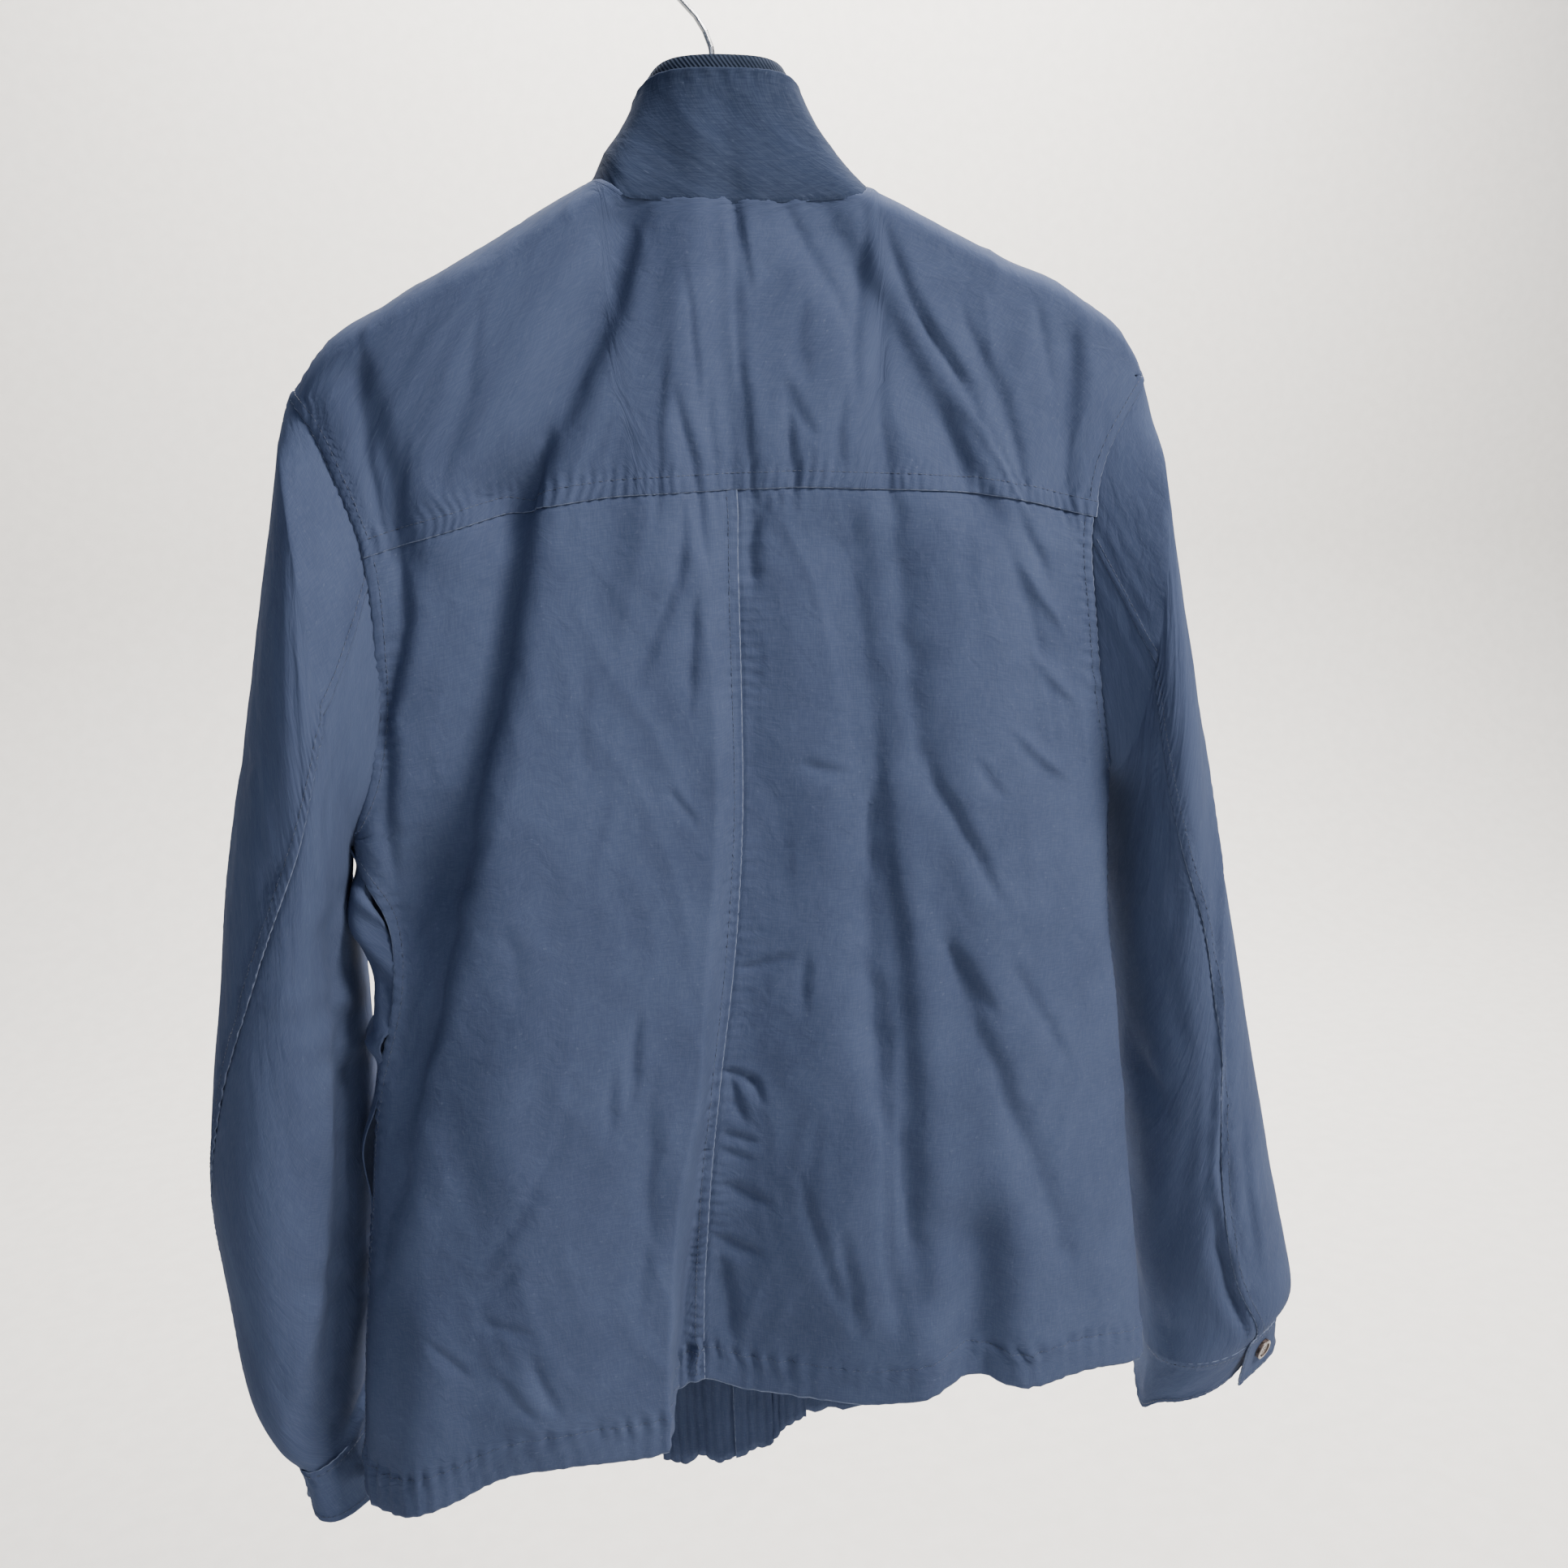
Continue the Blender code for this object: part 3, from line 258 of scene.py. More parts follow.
# Seams and edges that run across: the yoke seam and the hem of the back and of the front.
ACROSS = table(
    "x yoke back_hem front_hem",
    (-262, -332, -879, -879),
    (-203, -318, -861, -898),
    (-150, -305, -857, -912),
    (-127, -301, -851, -918),
    (-94, -298, -856, -924),
    (-62, -296, -860, -927),
    (-30, -294, -859, -922),
    (-2, -294, -858, -938),
    (18, -294, -856, -943),
    (41, -294, -847, -942),
    (75, -295, -857, -934),
    (130, -303, -855, -924),
    (168, -312, -857, -914),
    (200, -321, -871, -905),
    (256, -336, -888, -888),
)
# How far the side seam is drawn round onto the back below each armpit.
SIDE_SEAM_PULL = table(
    "z left right",
    (-472, 0, 0),
    (-520, 26, 6),
    (-565, 26, 5),
    (-612, 13, 2),
    (-655, 0, 0),
)
# The centre back seam and the deep fold of the left back that falls beside it and over it.
CENTRE_FOLD = table(
    "z seam foot crest depth spread",
    (-295, 5, 14, 34, 5, 30),
    (-334, 6, 12, 27, 8, 34),
    (-403, 7, 12, 23, 11, 40),
    (-475, 9, 14, 25, 14, 46),
    (-560, 17, 23, 35, 18, 52),
    (-635, 28, 34, 44, 22, 56),
    (-686, 34, 42, 55, 27, 62),
    (-725, 37, 48, 60, 33, 68),
    (-777, 40, 55, 66, 42, 76),
    (-840, 41, 60, 70, 50, 86),
    (-880, 41, 62, 72, 50, 86),
)
# Folds of the back, from one end to the other: bow, half width and height (a trough is negative).
BACK_FOLDS = table(
    FOLD_COLUMNS,
    (52, -165, 117, -300, 4, 13, -9),
    (117, -300, 183, -520, 8, 17, -13),
    (177, -505, 245, -780, 0, 20, -12),
    (20, -160, 60, -330, 0, 18, 5),
    (140, -330, 150, -800, 0, 34, 7),
    (-2, -150, 4, -292, 0, 7, -4),
    (-60, -165, -135, -300, 2, 12, -6),
    (-62, -330, -96, -780, 3, 14, -7),
    (-110, -330, -150, -850, 6, 28, 6),
    (190, -230, 176, -315, 0, 9, -5),
    (-192, -225, -188, -310, 0, 9, -5),
    (-136, -760, -139, -880, 0, 22, -14),
    (-92, -780, -92, -880, 0, 18, 6),
    (206, -760, 226, -890, 0, 18, 7),
)
# Creases of the back, narrower and sharper than its folds, in the same columns.
BACK_CREASES = table(
    FOLD_COLUMNS,
    (52, -172, 99, -262, 4, 6, -4),
    (99, -258, 119, -303, 1, 5, -5),
    (118, -310, 150, -435, 3, 7, -7),
    (149, -430, 190, -595, 1, 8, -7),
    (189, -590, 230, -740, 0, 9, -5),
    (191, -225, 189, -300, -2, 4, -3),
    (174, -268, 184, -315, 0, 4, -2.5),
    (181, -320, 196, -405, 5, 6, -7),
    (196, -395, 199, -480, 0, 6, -6),
    (134, -212, 156, -285, 2, 6, -2),
    (106, -275, 113, -303, 0, 3, -3),
    (40, -228, 48, -300, -2, 5, -3),
    (28, -185, 24, -243, 1, 2.5, -2),
    (34, -250, 23, -322, 2, 4.5, -4.5),
    (17, -245, 15, -300, 0, 4, -2.5),
    (7, -150, 5, -292, 0, 6, 3),
    (-2, -235, -4, -302, 0, 5, -4),
    (-10, -305, -4, -345, -4, 6, -4),
    (-2, -150, -8, -190, 0, 3, -2),
    (-30, -150, -60, -205, 0, 5, -2.5),
    (-36, -200, -39, -235, -3, 7, -2),
    (-24, -240, -37, -263, 0, 4, -3),
    (-25, -255, -28, -297, 0, 4, -3.5),
    (-55, -250, -51, -285, 0, 4, -2),
    (-72, -160, -64, -235, 0, 6, -4),
    (-85, -165, -104, -212, -2, 5, -4),
    (-102, -208, -128, -247, 0, 4.5, -6),
    (-117, -245, -152, -302, 1, 3.5, 4),
    (-122, -245, -157, -303, 1, 3.5, -3.5),
    (-112, -250, -126, -296, 0, 6, -3),
    (-128, -212, -160, -300, 4, 5, -3.5),
    (-170, -205, -179, -245, 0, 5, -2.5),
    (-80, -215, -83, -300, -2, 7, -4),
    (-84, -310, -93, -430, 0, 11, -5),
    (-95, -435, -106, -470, 0, 8, -3),
    (-104, -460, -136, -525, 0, 5, -5),
    (-26, -444, -48, -449, 0, 4, -2.5),
    (-66, -470, -67, -512, 0, 3.5, -5),
    (-66, -505, -66, -640, 0, 11, -7),
    (-73, -445, -84, -545, 0, 7, 4),
    (-126, -450, -141, -470, 0, 3.5, -2.5),
    (-156, -345, -180, -378, 0, 4, 3),
    (-164, -396, -187, -420, 0, 4, 3),
    (-150, -437, -180, -464, 0, 3.5, 3),
    (-155, -310, -172, -345, 0, 4, -3),
    (-150, -335, -170, -392, 0, 6, -3),
    (-108, -555, -134, -600, 0, 5, -4),
    (-68, -585, -71, -670, 0, 6, -5),
    (-70, -660, -69, -750, 0, 3, -3),
    (-80, -660, -87, -750, 0, 4, -4.5),
    (-88, -560, -95, -790, 0, 9, 4),
    (-115, -560, -150, -665, -3, 9, -6),
    (-148, -655, -190, -770, 0, 12, -6),
    (-150, -575, -185, -640, 0, 5, -3),
    (14, -562, -14, -556, 0, 4, -3),
    (23, -624, 6, -633, 0, 3, -4),
    (8, -630, 2, -646, 0, 3, -3),
    (20, -632, 13, -658, 0, 4, -3.5),
    (26, -666, 9, -671, 0, 3.5, -3),
    (28, -677, 12, -683, 0, 3.5, -2.5),
    (24, -700, 3, -713, 0, 5, -4),
    (30, -738, 8, -750, 0, 5, -4),
    (28, -758, 20, -812, 2, 7, -5),
    (-20, -705, -40, -782, 0, 3.5, -3.5),
    (-43, -738, -54, -805, 0, 4, -4),
    (-70, -750, -80, -810, 0, 4, -3),
    (-25, -560, -23, -590, 0, 4, -3),
    (33, -303, 38, -340, 0, 5, -4),
    (38, -336, 62, -388, 0, 5, -3.5),
    (30, -355, 36, -402, 0, 5, -4),
    (50, -452, 37, -472, 0, 2.5, -2),
    (91, -390, 94, -440, -2, 5, -1.5),
    (83, -455, 97, -490, 0, 5, -1.5),
    (112, -495, 118, -530, 0, 9, -1.5),
    (140, -520, 136, -560, 0, 8, -2),
    (75, -580, 80, -625, 0, 4, -3.5),
    (90, -610, 94, -642, 0, 4, -2.5),
    (66, -630, 78, -740, 0, 9, -4),
    (132, -660, 164, -716, 0, 6, -2.5),
    (150, -720, 171, -740, 0, 5, -2.5),
    (174, -750, 150, -758, 0, 4, -2),
    (203, -762, 183, -785, 0, 3, -2.5),
    (165, -788, 149, -815, 0, 4, -3),
    (147, -778, 134, -815, 0, 4, -3),
)


def smooth(at, xs, ys):
    """A smooth curve through points, level beyond both ends: cubic pieces with shared slopes."""
    order = np.argsort(xs)
    xs, ys = xs[order], ys[order]
    slope = np.gradient(ys, xs)
    at = np.clip(at, xs[0], xs[-1])
    i = np.clip(np.searchsorted(xs, at) - 1, 0, len(xs) - 2)
    step = xs[i + 1] - xs[i]
    t = (at - xs[i]) / step
    start = ys[i] * (1 + 2 * t) * (1 - t) ** 2 + slope[i] * step * t * (1 - t) ** 2
    end = ys[i + 1] * (3 - 2 * t) * t**2 - slope[i + 1] * step * (1 - t) * t**2
    return start + end


def ease(at, start, end):
    """0 before start, 1 after end, and an even S between them."""
    t = np.clip((at - start) / (end - start), 0, 1)
    return t * t * (3 - 2 * t)


def bell(away, reach):
    """1 at the middle, falling smoothly on both sides to almost nothing at two reaches."""
    return np.exp(-((away / reach) ** 2))


def section_curve(half_width=230, depth=50):
    """Half a level section of a body of usual size, by its length: the shares across and back."""
    angle = np.linspace(0, math.pi / 2, 721)
    across = np.sin(angle) ** (2 / SECTION_POWER)
    deep = np.cos(angle) ** (2 / SECTION_POWER)
    run = np.hypot(np.diff(across) * half_width, np.diff(deep) * depth)
    length = np.concatenate([[0], np.cumsum(run)])
    return length / length[-1], across, deep


SECTION_RUN, SECTION_ACROSS, SECTION_DEEP = section_curve()


def read(rows, column, at):
    """A column of a table at some places of its first column, along a smooth curve."""
    return smooth(at, next(iter(rows.values())), rows[column])


def half_width(z, side):
    """How far the body reaches to one side at a height."""
    return read(BODY, side, z)


def shoulder_z(x):
    """The height of the shoulder line."""
    return read(SHOULDER, "z", x)


def edge_run(z, side, edge):
    """Where an armhole edge, or the side seam below it, cuts the section: 1 is the body's side."""
    share = np.minimum(read(edge, side, z) / half_width(z, side), 1)
    run = np.interp(share, SECTION_ACROSS, SECTION_RUN)
    return np.where(z < ARMPIT_Z, 1, run)


def seam_pull(z, side):
    """How far the side seam lies round on the back, as a share of the half section."""
    pull = read(SIDE_SEAM_PULL, side, z)
    return np.where(z < ARMPIT_Z, pull, 0) / half_width(z, side)


def beside(x, z, rows):
    """Each line of a table, and where x, z lie by it: the share along it, and how far across it.

    A trough is moved towards its steep side by about half its width.
    """
    for x0, z0, x1, z1, bow, width, tall in zip(*rows.values()):
        dx, dz = x1 - x0, z1 - z0
        length = math.hypot(dx, dz)
        along = ((x - x0) * dx + (z - z0) * dz) / length**2
        inside = np.clip(along, 0, 1)
        across = ((x - x0) * dz - (z - z0) * dx) / length - bow * 4 * inside * (1 - inside)
        yield along, across + 0.45 * width * (tall < 0), length, width, tall


def folds(x, z, rows):
    """The height of all the folds of a table at x, z: each a ridge along a bowed line.

    Each is steep on one side and slow on the other, as where cloth hangs askew from a point.
    """
    height = np.zeros_like(x)
    for along, across, length, width, tall in beside(x, z, rows):
        past = (along - np.clip(along, 0, 1)) * length
        reach = width * np.where((across < 0) == (tall < 0), 1.6, 0.75)
        height += tall * bell(past, 1.5 * width) * bell(across, reach)
    return height


def centre_fold(x, z):
    """How far the back sinks at its centre seam: steep on the left, a long slope on the right."""
    columns = list(CENTRE_FOLD)[1:]
    seam, foot, crest, depth, spread = (read(CENTRE_FOLD, column, z) for column in columns)
    wall = ease(x, foot - 0.3 * (crest - foot), crest + 0.3 * (crest - foot))
    slope = bell(np.minimum(x - seam, 0), spread)
    fade = ease(-z, 0.24, 0.31)
    return -depth * fade * np.where(x > seam, 1 - wall, slope)


def nose(drop):
    """The share by which the cloth has left the hanger's plane: a quarter circle over the drop."""
    return np.sqrt(1 - (1 - np.clip(drop / SHOULDER_ROUNDING, 0, 1)) ** 2)


def body_point(face, x, z, deep, relief):
    """A point of the back or front: deepest at its middle, with relief that ends at its edges."""
    level, side = read(BODY, face, z), read(BODY, "side", z)
    drop = shoulder_z(x) - z
    y = (side + (level - side) * deep) * nose(drop)
    return np.stack([x, y + relief * np.minimum(deep * 1.6, 1) * ease(drop, 0, 30 * MM), z], -1)


def back_point(x, z, deep):
    """A point of the back with its folds."""
    return body_point("back", x, z, deep, folds(x, z, BACK_FOLDS) + centre_fold(x, z))


def neck_start(x):
    """How far below the shoulder line the yoke starts: at the neck seam, or just over the ridge."""
    share = np.abs(x - NECK_MIDDLE_X) / NECK_HALF_WIDTH
    neck = shoulder_z(x) - (NECK_BACK_Z + NECK_BACK_RISE * share**2)
    over = ease(share, 0.75, 1)
    return neck * (1 - over) - SHOULDER_SEAM_DROP * over


def place_on_section(run, z, side):
    """Across and depth on the section at a run from 0, the middle, to 1, the side of the body."""
    across = np.interp(run, SECTION_RUN, SECTION_ACROSS) * half_width(z, side)
    return across, np.interp(run, SECTION_RUN, SECTION_DEEP)


def yoke_grid(share, down):
    """The yoke from the right armhole, -1, to the left, 1, and from the neck, 0, to its seam, 1.

    The width depends on the height and the height on x, so they are worked out by turns.
    """
    share, down = share[None, :], down[:, None]
    z = -0.2 - 0.1 * down + 0 * share
    for _ in range(14):
        edge = np.where(share > 0, *(edge_run(z, side, BACK_EDGE) for side in SIDES))
        places = [place_on_section(np.abs(share) * edge, z, side) for side in SIDES]
        x, deep = np.where(share > 0, places[0][0], -places[1][0]), places[0][1]
        start = neck_start(x)
        end = shoulder_z(x) - read(ACROSS, "yoke", x)
        drop = start + (end - start) * down
        z = 0.4 * z + 0.6 * (shoulder_z(x) - np.abs(drop))
    points = back_point(x, z, deep)
    over = read(BODY, "front", z) * deep * nose(-drop)
    points[..., 1] = np.where(drop < 0, over, points[..., 1])
    return points


def graded(count, start=0.0, end=1.0, close=0.75):
    """Places from start to end, closer together near both: a straight line less one sine."""
    even = np.linspace(0, 1, count)
    return start + (end - start) * (even - close * np.sin(2 * math.pi * even) / (2 * math.pi))


def normals(grid):
    """The direction that each point of a grid faces: down its column crossed with along its row."""
    down, across = np.gradient(grid, axis=0), np.gradient(grid, axis=1)
    facing = np.cross(down, across)
    return facing / np.maximum(np.linalg.norm(facing, axis=-1, keepdims=True), 1e-12)


def lengths(grid, axis):
    """How far each point lies along its column (axis 0) or row (axis 1): the sum of all steps."""
    step = np.linalg.norm(np.diff(grid, axis=axis), axis=-1)
    return np.cumsum(np.concatenate([0 * step.take([0], axis), step], axis), axis)


def edges_of(grid):
    """For each edge of a grid, how far every point is from it and how far along it."""
    down, across = lengths(grid, 0), lengths(grid, 1)
    return {
        "top": (down, across),
        "bottom": (down[-1:] - down, across),
        "first": (across, down),
        "last": (across[:, -1:] - across, down),
    }


def dimples(u, v, seed):
    """Smooth noise from -1 to 1: random heights on a square lattice, blended by smooth steps."""
    heights = np.random.default_rng(seed).uniform(-1, 1, (101, 103))
    row, column = np.floor(u).astype(int), np.floor(v).astype(int)
    du, dv = u - row, v - column
    du, dv = du * du * (3 - 2 * du), dv * dv * (3 - 2 * dv)
    corner = [heights[(row + a) % 101, (column + b) % 103] for a in (0, 1) for b in (0, 1)]
    near = corner[0] * (1 - dv) + corner[1] * dv
    far = corner[2] * (1 - dv) + corner[3] * dv
    return near * (1 - du) + far * du


def puckers(away, run, seed, band, pitch, reach):
    """Short wrinkles square to a seam: waves that drift in pitch and strength, and finer noise."""
    wander = run + 2 * MM * dimples(away / (9 * MM), run / (30 * MM), seed + 1)
    drift = 0.8 * dimples(0 * away, run / (4 * pitch), seed + 3)
    wave = np.sin(2 * math.pi * (wander / pitch + drift))
    strength = 0.55 + 0.45 * dimples(0 * away, run / (5 * pitch), seed + 4)
    finer = dimples(wander / (pitch / 4), away / band, seed + 2)
    return (strength * wave + 0.4 * finer) * bell(np.maximum(away - band, 0), reach)


def seam_relief(grid, seams, seed):
    """The height of the cloth at its seams, and how far an edge that lies on top and any edge are.

    A seam is an edge of the grid, its kind, and in millimetres the width that is sewn and its
    puckers' height and pitch. An edge on top is two or more layers thick as far as its row of
    stitches, which pulls it in. A hem is a wide band of that kind. A piece below runs on flat under
    the other, and two edges that are only joined turn down into the seam. All are puckered.
    """
    height = np.zeros(grid.shape[:2])
    near = inside = height + 1.0
    for k, (edge, kind, *sizes) in enumerate(seams):
        band, tall, pitch = (size * MM for size in sizes)
        away, run = edges_of(grid)[edge]
        past = np.abs(away - TUCK) if kind == "under" else away
        inside = np.minimum(inside, past)
        reach = (9 if kind == "joined" else 8) * MM
        ripple = tall * puckers(past, run, seed + 10 * k, band, pitch, reach)
        if kind == "under":
            ripple *= 0.6 * ease(away, 0.5 * TUCK, TUCK + 1 * MM)
            height += ripple - LAYER * (1 - ease(away, TUCK, TUCK + 2.5 * MM))
            continue
        if kind == "joined":
            height += ripple - 0.9 * MM * bell(away, 1.3 * MM)
            continue
        if kind == "hem":
            ripple *= 0.5 + 0.9 * bell(away - band, 7 * MM)
        thick = np.sqrt(ease(away, -0.3 * MM, 1.0 * MM)) * (1 - ease(away, band, band + 2 * MM))
        height += ripple + LAYER * thick - 0.4 * MM * bell(away - band, 1.2 * MM)
        near = np.minimum(near, away)
    return height, near, inside


def crumpled(grid, seed, tall=1.0, lean=0.4):
    """Soft creases of washed cloth: broad noise, and two slants of ridges where noise is zero."""
    down, across = lengths(grid, 0), lengths(grid, 1)
    bend = 14 * MM * dimples(across / (60 * MM), down / (70 * MM), seed + 3)
    u, v = across + lean * down + bend, down - lean * across
    other = across - 0.5 * lean * down - bend
    broad = dimples(u / (36 * MM), v / (80 * MM), seed)
    sharp = 1 - 2 * np.abs(dimples(u / (25 * MM), v / (100 * MM), seed + 1)) ** 0.8
    slant = 1 - 2 * np.abs(dimples(other / (15 * MM), v / (52 * MM), seed + 4)) ** 0.8
    fine = dimples(u / (6 * MM), v / (9 * MM), seed + 2)
    share = 0.5 + 0.5 * dimples(across / (90 * MM), down / (90 * MM), seed + 5)
    ridges = 1.1 * sharp * share + 0.75 * slant * (1 - share)
    return tall * MM * (0.9 * broad + ridges + 0.09 * fine)


def quads(grid):
    """The faces of a grid of points: a quad for each of its cells."""
    rows, columns = grid.shape[:2]
    at = np.arange(rows * columns).reshape(rows, columns)
    return np.stack([at[:-1, :-1], at[1:, :-1], at[1:, 1:], at[:-1, 1:]], -1).reshape(-1, 4)


def meshed(name, points, faces, finish):
    """A new mesh of one finish, as an object in the scene."""
    mesh = bpy.data.meshes.new(name)
    mesh.from_pydata(points.reshape(-1, 3).tolist(), [], faces.tolist())
    mesh.materials.append(finish)
    made = bpy.data.objects.new(name, mesh)
    bpy.context.scene.collection.objects.link(made)
    return made


def cloth(name, grid, flip, finish, near, wall=CLOTH_WALL):
    """A cut piece as a thin shell: the faces of its grid, thickened inwards.

    Its UV map is its flat cut in metres, and the attribute "edge" is the distance in millimetres
    to an edge that rubs.
    """
    faces = quads(grid)[:, ::-1] if flip else quads(grid)
    made = meshed(name, grid, faces, finish)
    made.data.shade_smooth()
    flat = np.stack([lengths(grid, 1), -lengths(grid, 0)], -1).reshape(-1, 2)
    made.data.uv_layers.new(name="cut").data.foreach_set("uv", flat[faces].ravel())
    rub = made.data.attributes.new("edge", "FLOAT", "POINT")
    rub.data.foreach_set("value", np.minimum(near / MM, 99).astype(np.float32).ravel())
    thicken = made.modifiers.new("wall", "SOLIDIFY")
    thicken.thickness, thicken.offset = wall, -1
    return made


def creased(x, z, rows):
    """The height of sharp creases: each a narrow lopsided bell along a bowed line, less a low one.

    Its height and width swell from nothing at one end and die away at the other.
    """
    height = np.zeros_like(x)
    for along, across, length, width, tall in beside(x, z, rows):
        swell = ease(along, -0.3, 0.3) * (1 - ease(along, 0.7, 1.3))
        wander = dimples(along * length / (16 * MM), width * 9000 + 0 * x, 7)
        across = across + 0.25 * width * wander
        reach = width * np.where((across < 0) == (tall < 0), 1.6, 0.8)
        across = across / (reach * (0.5 + 0.5 * swell))
        height += tall * swell * (np.exp(-(np.abs(across) ** 1.5)) - 0.3 * bell(across, 2.4))
    return height


def dressed(grid, flip, seams, seed, tall=1.0, lean=0.4, creases=None, hidden=0.0):
    """A grid with the relief of its seams and creases on it, and its nearness to rubbed edges.

    Its washed creases die away at its seams, and are higher by the share "hidden" where it faces
    the wearer's front. The creases of a table lie on the back only.
    """
    height, near, inside = seam_relief(grid, seams, seed)
    out = normals(grid) * (-1 if flip else 1)
    tall = tall * (1 + hidden * ease(-out[..., 1], -0.2, 0.4))
    calm = ease(inside, 0, 22 * MM) * 0.9 + 0.1
    height = height + crumpled(grid, seed + 500, tall, lean) * calm
    if creases is not None:
        behind = ease(out[..., 1], -0.1, 0.35)
        height = height + creased(grid[..., 0], grid[..., 2], creases) * behind
    return grid + height[..., None] * out, near


def cotton(name, lit, shade, worn):
    """Washed cotton cloth, garment dyed: matt, faintly slubbed, and paler where edges rub."""
    made, tree, shader = surface(name, Roughness=0.95, Specular_IOR_Level=0.06)
    cut = add(tree, "UVMap", uv_map="cut")
    # The weave: threads of a third of a millimetre, drawn at 0.8 mm so that they show.
    warp = noise(tree, cut, 1250.0, 2.0, (1.0, 0.09, 1.0))
    weft = noise(tree, cut, 1250.0, 2.0, (0.09, 1.0, 1.0))
    weave = add(tree, "Math", {0: warp, 1: weft}, operation="ADD")
    # Fading from the wash, in clouds of 60 mm and specks of 3 mm.
    cloud = noise(tree, cut, 16.0, 4.0, Roughness=0.6)
    speck = noise(tree, cut, 330.0, 3.0)
    tone = ramp(tree, cloud, (0.15, shade), (0.85, lit))
    tone = blended(tree, span(tree, speck, 0.62, 0.8, 0.0, 0.16), tone, linear(worn))
    tone = blended(tree, span(tree, weave, 0.85, 1.2, 0.0, 0.06), tone, linear(worn))
    # A rubbed line along the edge of each seam that lies on top, broken up by noise.
    edge = add(tree, "Attribute", out="Fac", attribute_name="edge")
    patchy = noise(tree, cut, 260.0, 2.0)
    line = add(tree, "Math", {0: span(tree, edge, 1.1, 0.1), 1: patchy}, operation="MULTIPLY")
    tone = blended(tree, span(tree, line, 0.2, 0.55, 0.0, 0.6), tone, linear(worn))
    tree.links.new(tone, shader.inputs["Base Color"])
    tree.links.new(span(tree, cloud, 0.3, 0.7, 0.82, 0.92), shader.inputs["Roughness"])
    low = bumped(tree, shader, weave, 0.0001, 0.5)
    low = bumped(tree, shader, speck, 0.0003, 0.25, low)
    # Fine wrinkles left by the wash, a centimetre across and less.
    wrinkle = noise(tree, cut, 75.0, 5.0, Distortion=0.6)
    bumped(tree, shader, wrinkle, 0.0022, 0.4, low)
    return made


navy_cotton = cotton("garment_dyed_navy_cotton", "4c5874", "424d68", "8793ab")

seams = [
    ("bottom", "over", 9, 0.6, 5.8),
    ("first", "over", 6, 0.7, 6),
    ("last", "over", 6, 0.7, 6),
    ("top", "joined", 3, 0.35, 8),
]
grid = yoke_grid(graded(310, -1, 1, 0.1), graded(68))
yoke_points, near = dressed(grid, True, seams, 11, creases=BACK_CREASES)
piece = cloth("yoke", yoke_points, True, navy_cotton, near)
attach(piece, "jacket")
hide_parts("back_yoke")

# -------------------------------------------------------------------------------
# Lower backs. Two pieces of the same cloth, joined by a seam down the middle of the back; the left
# one lies over the right and has the row of stitches. Each hem is turned up and sewn once.
# -------------------------------------------------------------------------------


def back_panel_grid(side, share, down):
    """A lower back, from the centre seam, 0, to its armhole and side seam, 1, down to its hem.

    Its height and width are worked out by turns, as those of the yoke are.
    """
    tuck = TUCK if side == "right" else 0
    share, down = share[None, :], down[:, None]
    z = -0.3 - 0.57 * down + 0 * share
    for _ in range(14):
        seam = read(CENTRE_FOLD, "seam", z)
        # The armpit's corner shows in the columns next to it only.
        heights = z - 40 * MM, z, z + 40 * MM
        ends = [edge_run(level, side, BACK_EDGE) - seam_pull(level, side) for level in heights]
        steady = 0.25 * ends[0] + 0.5 * ends[1] + 0.25 * ends[2]
        across, deep = place_on_section(share * (steady + (ends[1] - steady) * share**8), z, side)
        x = SIGN[side] * across + (seam + tuck) * (1 - across / half_width(z, side))
        top = read(ACROSS, "yoke", x) + TUCK
        bottom = read(ACROSS, "back_hem", x)
        z = 0.5 * z + 0.5 * (top + (bottom - top) * down)
    return back_point(x, z, deep)


# The turned-up hem's height in millimetres, as in the lists of seams.
HEM = 25
back_points = {}
for side, flip, kind, seed in (("left", True, "over", 21), ("right", False, "under", 31)):
    grid = back_panel_grid(side, graded(116, close=0.55), graded(262, close=0.12))
    seams = [
        ("first", kind, 6, 0.9, 7),
        ("last", "over", 6, 0.7, 7),
        ("top", "under", 4, 0.5, 7),
        ("bottom", "hem", HEM, 1.7, 10),
    ]
    back_points[side], near = dressed(grid, flip, seams, seed, creases=BACK_CREASES)
    piece = cloth("back_" + side + "_cloth", back_points[side], flip, navy_cotton, near)
    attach(piece, "jacket")
    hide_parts("back_" + side)

# -------------------------------------------------------------------------------
# Fronts. One piece each side from the neck to the hem, joined to the back at the shoulder and side
# seams; the edges at the opening are turned back over the zip tapes.
# -------------------------------------------------------------------------------

NECK_FRONT_Z = -212 * MM
FRONT_OPENING = 5.0 * MM
FRONT_MIDDLE_X = {"neck": -6 * MM, "hem": 12 * MM}

# The front's armhole is cut a little deeper than the back's.
FRONT_EDGE = table(
    "z left right",
    (-240, 230, 242),
    (-256, 218, 226),
    (-280, 209, 210),
    (-322, 197, 199),
    (-378, 195, 200),
    (-409, 199, 205),
    (-440, 207, 212),
    (-472, 221, 223),
)
# Folds of the front, which hang from the shoulders and the ends of the hanger.
FRONT_FOLDS = table(
    FOLD_COLUMNS,
    (92, -190, 140, -470, 4, 16, -8),
    (-96, -190, -146, -480, -4, 16, -8),
    (140, -470, 120, -880, 0, 24, -9),
    (-150, -470, -128, -880, 0, 26, -10),
    (180, -300, 190, -600, 0, 18, 6),
    (-186, -300, -196, -600, 0, 18, 6),
    (60, -420, 66, -900, 0, 20, 7),
    (-58, -420, -70, -900, 0, 20, 7),
    (206, -640, 214, -880, 0, 16, -6),
    (-208, -640, -220, -880, 0, 16, -6),
)


